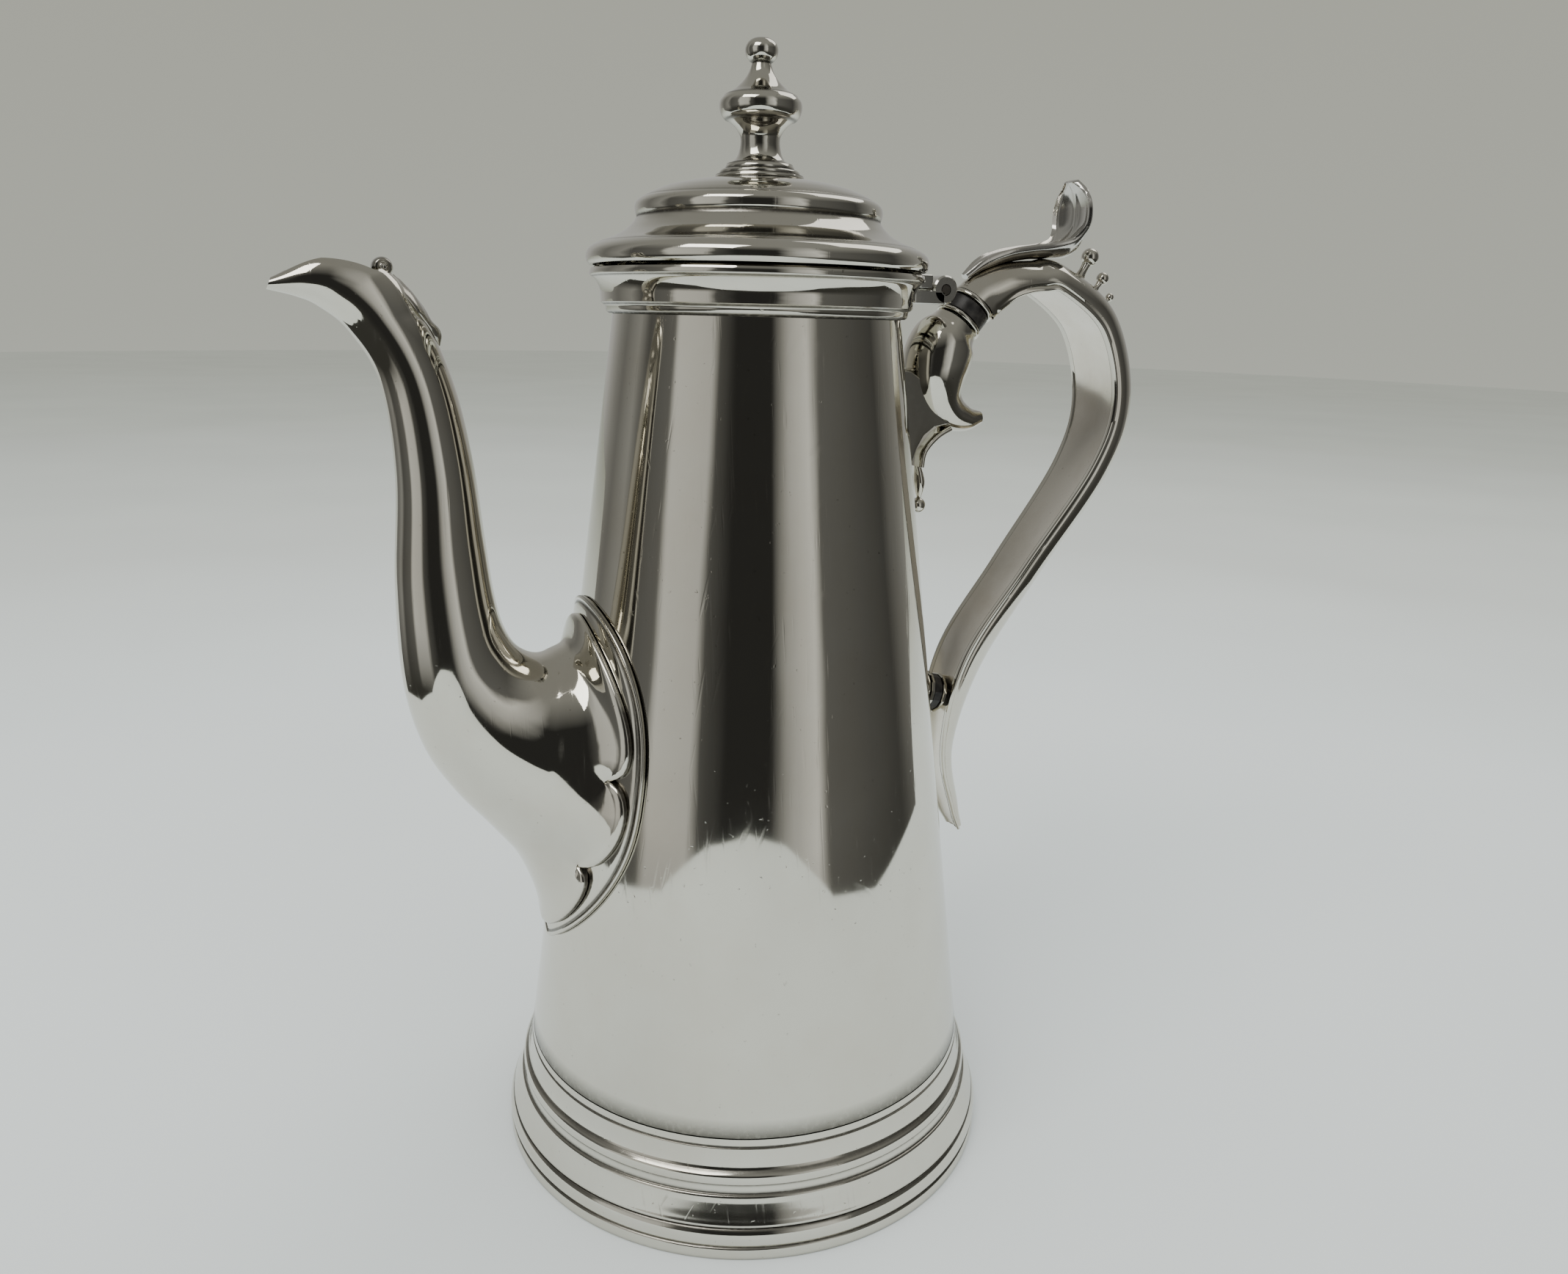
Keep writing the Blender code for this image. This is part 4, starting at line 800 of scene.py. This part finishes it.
finish_mesh("spout_crest_scroll_piece", crest_scroll, "pot", crest_metal,
            ["spout_crest_scroll"], None, 60)


# Handle -------------------------------------------------------------------------------------------
# A hollow scroll handle in two stampings: a rounded back with a fine bead along each edge, and a flat
# strip let in between the edges on the finger side. It narrows to a plain tail.

handle_line = [
    (27.2, 2.3, 10.8, 9.6), (33.2, -0.7, 12.2, 8.0), (40.5, -2.0, 13.8, 7.3), (47.6, -1.5, 15.4, 7.8),
    (60.3, 8.0, 16.5, 9.0), (64.2, 26.3, 16.5, 9.6), (56.8, 44.3, 15.6, 9.3), (35.2, 69.3, 13.8, 8.7),
    (17.4, 91.0, 12.6, 9.1), (9.3, 112.3, 10.4, 5.6), (10.8, 128.9, 8.4, 3.8), (12.6, 136.0, 5.4, 2.4)]
joint_tilt = math.radians(50.0)
joint_way = Vector((math.cos(joint_tilt), 0, math.sin(joint_tilt)))
joint_x, joint_z = beside_body(27.2 - 2.6, 2.3 + 2.1)
joint_start = Vector((joint_x, 0, joint_z))


def handle_frames(steps):
    knots = [(joint_start.x, joint_start.z, 10.6, 10.6)]
    for out, drop, width, thick in handle_line:
        knots.append((*beside_body(out, drop), width, thick))
    points = smooth_curve(knots, steps)
    tangents = np.gradient(points[:, :2], axis=0)
    tangents[0] = (joint_way.x, joint_way.z)
    frames = []
    for step, ((x, z, width, thick), (tx, tz)) in enumerate(zip(points, tangents)):
        length = math.hypot(tx, tz)
        opened = min(1.0, step / (0.25 * (len(points) - 1)))
        edge = math.radians(48.0 - 36.0 * opened)
        normal = Vector((-tz / length, 0, tx / length))
        frames.append((Vector((x, 0, z)), normal, width / 2, thick / 2, edge, opened))
    return frames


def add_handle_back():
    rings = []
    for centre, normal, wide, thick, edge, opened in handle_frames(16):
        rise = 2 * thick / (1 + math.sin(edge))
        middle = rise * math.sin(edge) - thick
        ring = []
        for a in np.linspace(-edge, math.pi + edge, 65):
            from_edge = min(a + edge, math.pi + edge - a) * (wide + rise) / 2
            bead = opened * (0.28 * math.exp(-((from_edge - 0.5) / 0.45) ** 2)
                             - 0.34 * math.exp(-((from_edge - 1.5) / 0.4) ** 2))
            r = 1 + bead / rise - 0.02
            ring.append(centre + Vector((0, wide * r * math.cos(a), 0))
                        + normal * (middle + rise * r * math.sin(a)))
        lip = min(1.2, 0.3 * wide)
        y, low = abs(ring[0].y), -thick
        turned_in = [(lip * 0.5, 0.05), (lip, 0.25), (lip, 0.9 * thick * 0.5)]
        ring += [centre + Vector((0, inward - y, 0)) + normal * (low + up) for inward, up in turned_in]
        ring += [centre + Vector((0, y - inward, 0)) + normal * (low + up) for inward, up in turned_in[::-1]]
        rings.append(ring)
    return skin(rings)


def add_handle_strip():
    rings = []
    for centre, normal, wide, thick, edge, opened in handle_frames(16):
        y = wide * math.cos(edge) - min(1.2, 0.3 * wide) - 0.15
        low = -thick
        hollow = 0.35 * opened
        top = [(s, 0.25 + hollow * (1 - s * s)) for s in np.linspace(-1, 1, 17)]
        under = [(s, 0.25 + min(0.9, 0.35 * thick)) for s in (0.94, 0, -0.94)]
        rings.append([centre + Vector((0, s * y, 0)) + normal * (low + up) for s, up in top + under])
    return skin(rings)


handle_metal = silver("handle_silver", waver=0.05, tarnish=0.4, wear=1.0)
finish_mesh("handle_back_piece", add_handle_back(), "pot", handle_metal,
            ["handle_back"], None, 50)
strip_metal = silver("strip_silver", colour=(0.78, 0.74, 0.66), shine=0.14, tarnish=0.55)
finish_mesh("handle_inner_strip_piece", add_handle_strip(), "pot", strip_metal,
            ["handle_inner_strip"], None, 45)


# Handle joints ------------------------------------------------------------------------------------
# Two black discs keep the heat from the hand. Each sits between thin silver rings, and its spigots go
# into the socket and the handle, where small silver pins hold them.

def black_block():
    block = bpy.data.materials.new("insulator_black")
    block.use_nodes = True
    tree = block.node_tree
    shader = tree.nodes["Principled BSDF"]
    where = node(tree, "ShaderNodeTexCoord").outputs["Object"]
    cloud = noise(tree, where, 600.0, 4.0)
    tree.links.new(ramp(tree, cloud, [(0.35, (0.006, 0.005, 0.005)), (0.75, (0.03, 0.026, 0.022))]),
                   shader.inputs["Base Color"])
    tree.links.new(calculate(tree, "MULTIPLY_ADD", cloud, 0.3, 0.22), shader.inputs["Roughness"])
    fine = node(tree, "ShaderNodeBump", {"Strength": 0.3, "Distance": 0.00005}, {"Height": cloud})
    tree.links.new(fine.outputs[0], shader.inputs["Normal"])
    return block


def joint_disc(name, start, way, near, far, bore, radius, finish):
    soft = min(0.35, 0.35 * (far - near))
    runs = [[(bore, near), (radius - soft, near)],
            [(radius - soft, near), (radius - 0.3 * soft, near + 0.3 * soft), (radius, near + soft),
             (radius, far - soft), (radius - 0.3 * soft, far - 0.3 * soft), (radius - soft, far)],
            [(radius - soft, far), (bore, far)], [(bore, far), (bore, near)]]
    finish_mesh(name + "_piece", turned(runs, start, way, 96), "pot", finish, [name], None, 40)


black = black_block()
down = -joint_way
joint_disc("handle_top_ring", joint_start, down, 0.3, 1.3, 3.3, 5.7, polished)
joint_disc("upper_insulator", joint_start, down, 1.6, 5.0, 0.5, 5.3, black)
joint_disc("upper_socket_ring", joint_start, down, 5.3, 6.3, 3.3, 5.8, polished)
dress(black, "lower_insulator")
dress(polished, "handle_lower_ring", "lower_socket_ring", "lower_socket")
dress(dull, "handle_top_pin", "upper_socket_pin", "lower_socket_pin")


# Upper socket and its bracket ---------------------------------------------------------------------
# A cast, horn-shaped socket takes the upper spigot and ends in a turned-out lip. A fin behind it stands
# on the body, with a curled strap below, then a drop and a small bead.

socket_line = [(16.2, 13.3, 7.6), (13.9, 17.3, 7.9), (12.9, 21.8, 7.3), (13.8, 26.3, 6.0),
               (17.0, 29.4, 4.3), (21.2, 30.9, 2.9), (25.2, 30.7, 1.5)]


def rod(stations, steps, segments=64, flatten=1.0):
    """A rod of changing thickness along (x, z, radius) stations in the plane of symmetry."""
    points = smooth_curve(stations, steps)
    points = spaced(points, len(points))
    tangents = np.gradient(points[:, :2], axis=0)
    for _ in range(6):
        tangents[1:-1] = 0.5 * tangents[1:-1] + 0.25 * (tangents[:-2] + tangents[2:])
    rings = []
    for (x, z, radius), (tx, tz) in zip(points, tangents):
        length = math.hypot(tx, tz)
        rings.append([Vector((x - tz / length * radius * math.cos(a), flatten * radius * math.sin(a),
                              z + tx / length * radius * math.cos(a)))
                      for a in np.linspace(0, 2 * math.pi, segments, endpoint=False)])
    return skin(rings)


mouth = joint_start + down * 6.9
shoulder = mouth + down * 1.5
socket_knots = [(mouth.x, mouth.z, 5.5), (shoulder.x, shoulder.z, 6.0)]
socket_knots += [(*beside_body(out, drop), radius) for out, drop, radius in socket_line]
finish_mesh("upper_socket_piece", rod(socket_knots, 10), "pot", handle_metal,
            ["upper_socket"], None, 50)

bracket_outline = [(0.3, 19.4), (4.6, 19.8), (7.4, 21.5), (9.0, 26.0), (12.5, 30.6), (14.6, 31.7),
                   (10.0, 32.5), (7.1, 34.3), (4.8, 37.5), (3.3, 40.8), (1.6, 44.3), (0.3, 44.3)]


def slab(outline, half_width, soft):
    """An outline in the plane of symmetry made solid, with softened edges."""
    shape = bmesh.new()
    rows = [[shape.verts.new((x, side * half_width, z)) for x, z in outline] for side in (-1, 1)]
    shape.faces.new(rows[0])
    shape.faces.new(rows[1][::-1])
    for i in range(len(outline)):
        j = (i + 1) % len(outline)
        shape.faces.new((rows[0][i], rows[0][j], rows[1][j], rows[1][i]))
    bmesh.ops.recalc_face_normals(shape, faces=shape.faces)
    bmesh.ops.bevel(shape, geom=shape.edges[:], offset=soft, segments=3, affect="EDGES", profile=0.6)
    return shape


bracket = [beside_body(out, drop) for out, drop in bracket_outline]
# The whole fin is evenly darkened a little through the per-point darkening mask.
finish_mesh("handle_bracket_piece", slab(bracket, 4.0, 0.5), "pot", handle_metal,
            ["handle_bracket"], lambda p: 0.3, 40)


def add_strap():
    knots = ((15.4, 33.0), (11.4, 35.0), (8.0, 38.2), (6.8, 41.8))
    line = smooth_curve([beside_body(out, drop) for out, drop in knots], 10)
    slopes = np.gradient(line, axis=0)
    rings = []
    for (x, z), (tx, tz) in zip(line, slopes):
        n = Vector((-tz, 0, tx)).normalized()
        rings.append([Vector((x, 0, z)) + n * (0.85 * math.copysign(abs(math.sin(a)) ** 0.7, math.sin(a)))
                      + Vector((0, 3.0 * math.copysign(abs(math.cos(a)) ** 0.7, math.cos(a)), 0))
                      for a in np.linspace(0, 2 * math.pi, 32, endpoint=False)])
    return skin(rings)


finish_mesh("bracket_strap_piece", add_strap(), "pot", handle_metal,
            ["bracket_strap"], None, 50)
drop_knots = [(*beside_body(out, fall), radius) for out, fall, radius in
              ((6.9, 41.2, 0.7), (7.2, 42.9, 1.0), (7.3, 45.6, 1.3), (7.1, 47.8, 0.95), (7.0, 49.3, 0.5))]
finish_mesh("bracket_drop_piece", rod(drop_knots, 8, 32, 1.3), "pot", handle_metal,
            ["bracket_drop"], None, 60)


def ball_on_peg(foot, way, radius, peg):
    turns = np.radians(np.linspace(-60, 90, 14))
    ball = [(max(radius * math.cos(a), 0.0), peg + radius * (1 + math.sin(a))) for a in turns]
    ball[-1] = (0, ball[-1][1])
    runs = [[(0, 0), (0.6 * radius, 0)], [(0.6 * radius, 0), (0.46 * radius, 0.5 * peg), ball[0]],
            ball]
    return turned(runs, foot, way, 48)


bead_x, bead_z = beside_body(6.6, 51.1)
bead_radius = 1.85
finish_mesh("bracket_drop_bead_piece",
            ball_on_peg((bead_x - bead_radius, 0, bead_z), (1, 0, 0), bead_radius, 0.0), "pot",
            handle_metal, ["bracket_drop_bead"], None, 60)


# Thumb leaf and beads -----------------------------------------------------------------------------
# A cast leaf lies along the top of the handle and curls up for the thumb, dished, with a thin raised
# rim. Three beads of falling size stand behind it on short pegs.

leaf_line = [(22.9, -0.9, 1.2, 0.9, 0.3), (28.0, -4.1, 2.4, 1.3, 1.3), (34.0, -6.1, 3.6, 1.2, 1.5),
             (40.0, -7.0, 4.0, 1.3, 1.4), (46.0, -7.7, 4.4, 1.3, 1.6), (51.5, -9.2, 5.4, 1.3, 2.4),
             (55.2, -12.8, 6.8, 1.2, 0.6), (56.2, -17.6, 7.1, 1.1, 0.0), (55.6, -21.6, 5.4, 1.1, 0.0),
             (54.2, -24.0, 2.4, 1.1, 0.0)]


def add_leaf():
    points = smooth_curve([(*beside_body(out, drop), *sizes) for out, drop, *sizes in leaf_line], 12)
    slopes = np.gradient(points[:, :2], axis=0)
    rings = []
    for (x, z, width, thick, under), (tx, tz) in zip(points, slopes):
        n = Vector((-tz, 0, tx)).normalized()
        here = Vector((x, 0, z))
        ring = []
        for a in np.linspace(-1, 1, 41):
            from_edge = (1 - abs(a)) * width
            rim = (0.22 * math.exp(-((from_edge - 0.45) / 0.35) ** 2)
                   - 0.2 * math.exp(-((from_edge - 1.2) / 0.35) ** 2))
            ridge = 0.25 * math.exp(-(a * width / 0.8) ** 2)
            soft = min(1.0, from_edge / 0.4) ** 0.5
            lift = 0.035 * (width * a) ** 2 + thick * (0.45 + 0.55 * soft) + rim + ridge - 0.1
            ring.append(here + n * lift + Vector((0, width * a, 0)))
        for a in np.linspace(1, -1, 15):
            lift = 0.035 * (width * a) ** 2 + 0.05 - under * (1 - a * a)
            ring.append(here + n * lift + Vector((0, width * a * 0.97, 0)))
        rings.append(ring)
    return skin(rings)


leaf_metal = silver("leaf_silver", colour=(0.62, 0.61, 0.58), shine=0.12, tarnish=0.3)
finish_mesh("thumb_leaf_piece", add_leaf(), "pot", leaf_metal, ["thumb_leaf"], None, 50)
frames = handle_frames(40)
handle_beads = ((0.37, 2.1, 3.2), (0.393, 1.5, 2.0), (0.41, 1.0, 1.0))
for number, (place, radius, peg) in enumerate(handle_beads, 1):
    centre, normal, _, thick, _, _ = frames[int((len(frames) - 1) * place)]
    bead = ball_on_peg(centre + normal * (thick + 0.3), normal, radius, peg)
    finish_mesh(f"handle_bead_{number}_piece", bead, "pot", handle_metal,
                [f"handle_bead_{number}"], None, 60)


# Hinge --------------------------------------------------------------------------------------------
# A cast three-knuckle hinge. The body's leaf is a plain block soldered to the collar, the lid's leaf
# is soldered to the lid's edge, and a wire pin, dark at its ends, joins the knuckles.

HINGE_X, HINGE_Z, KNUCKLE_RADIUS, PIN_HOLE = 42.0, 196.2, 3.1, 1.25


def joined(*shapes):
    """Several closed shapes as one piece."""
    whole = bmesh.new()
    for part in shapes:
        mesh = bpy.data.meshes.new("joined")
        part.to_mesh(mesh)
        part.free()
        whole.from_mesh(mesh)
        bpy.data.meshes.remove(mesh)
    return whole


def knuckle(near, far):
    """A short tube round the hinge pin, with softened ends, from one place along the pin to another."""
    soft = 0.35
    corners = [(PIN_HOLE, near), (KNUCKLE_RADIUS - soft, near), (KNUCKLE_RADIUS, near + soft),
               (KNUCKLE_RADIUS, far - soft), (KNUCKLE_RADIUS - soft, far), (PIN_HOLE, far),
               (PIN_HOLE, near)]
    runs = [list(pair) for pair in zip(corners, corners[1:])]
    return turned(runs, (HINGE_X, 0, HINGE_Z), (0, 1, 0), 64)


hinge_metal = silver("hinge_silver", colour=(0.60, 0.59, 0.55), shine=0.12, tarnish=0.35)
body_block = slab([(34.0, 193.1), (42.0, 193.1), (42.0, 196.0), (34.0, 196.0)], 8.0, 0.4)
finish_mesh("hinge_body_leaf_piece", joined(body_block, knuckle(-8.0, -3.1), knuckle(3.1, 8.0)),
            "pot", hinge_metal, ["hinge_body_leaf"], None, 35)
lid_plate = slab([(35.2, 196.4), (38.6, 196.4), (38.6, 199.3), (35.2, 199.3)], 8.0, 0.4)
lid_tongue = slab([(36.0, 196.6), (42.0, 196.6), (42.0, 199.0), (36.0, 199.0)], 2.8, 0.3)
finish_mesh("hinge_lid_leaf_piece", joined(lid_plate, lid_tongue, knuckle(-2.8, 2.8)), "lid",
            hinge_metal, ["hinge_lid_leaf"], None, 35)
dress(silver("pin_metal", colour=(0.10, 0.095, 0.09), shine=0.35, tarnish=0.5), "hinge_pin")
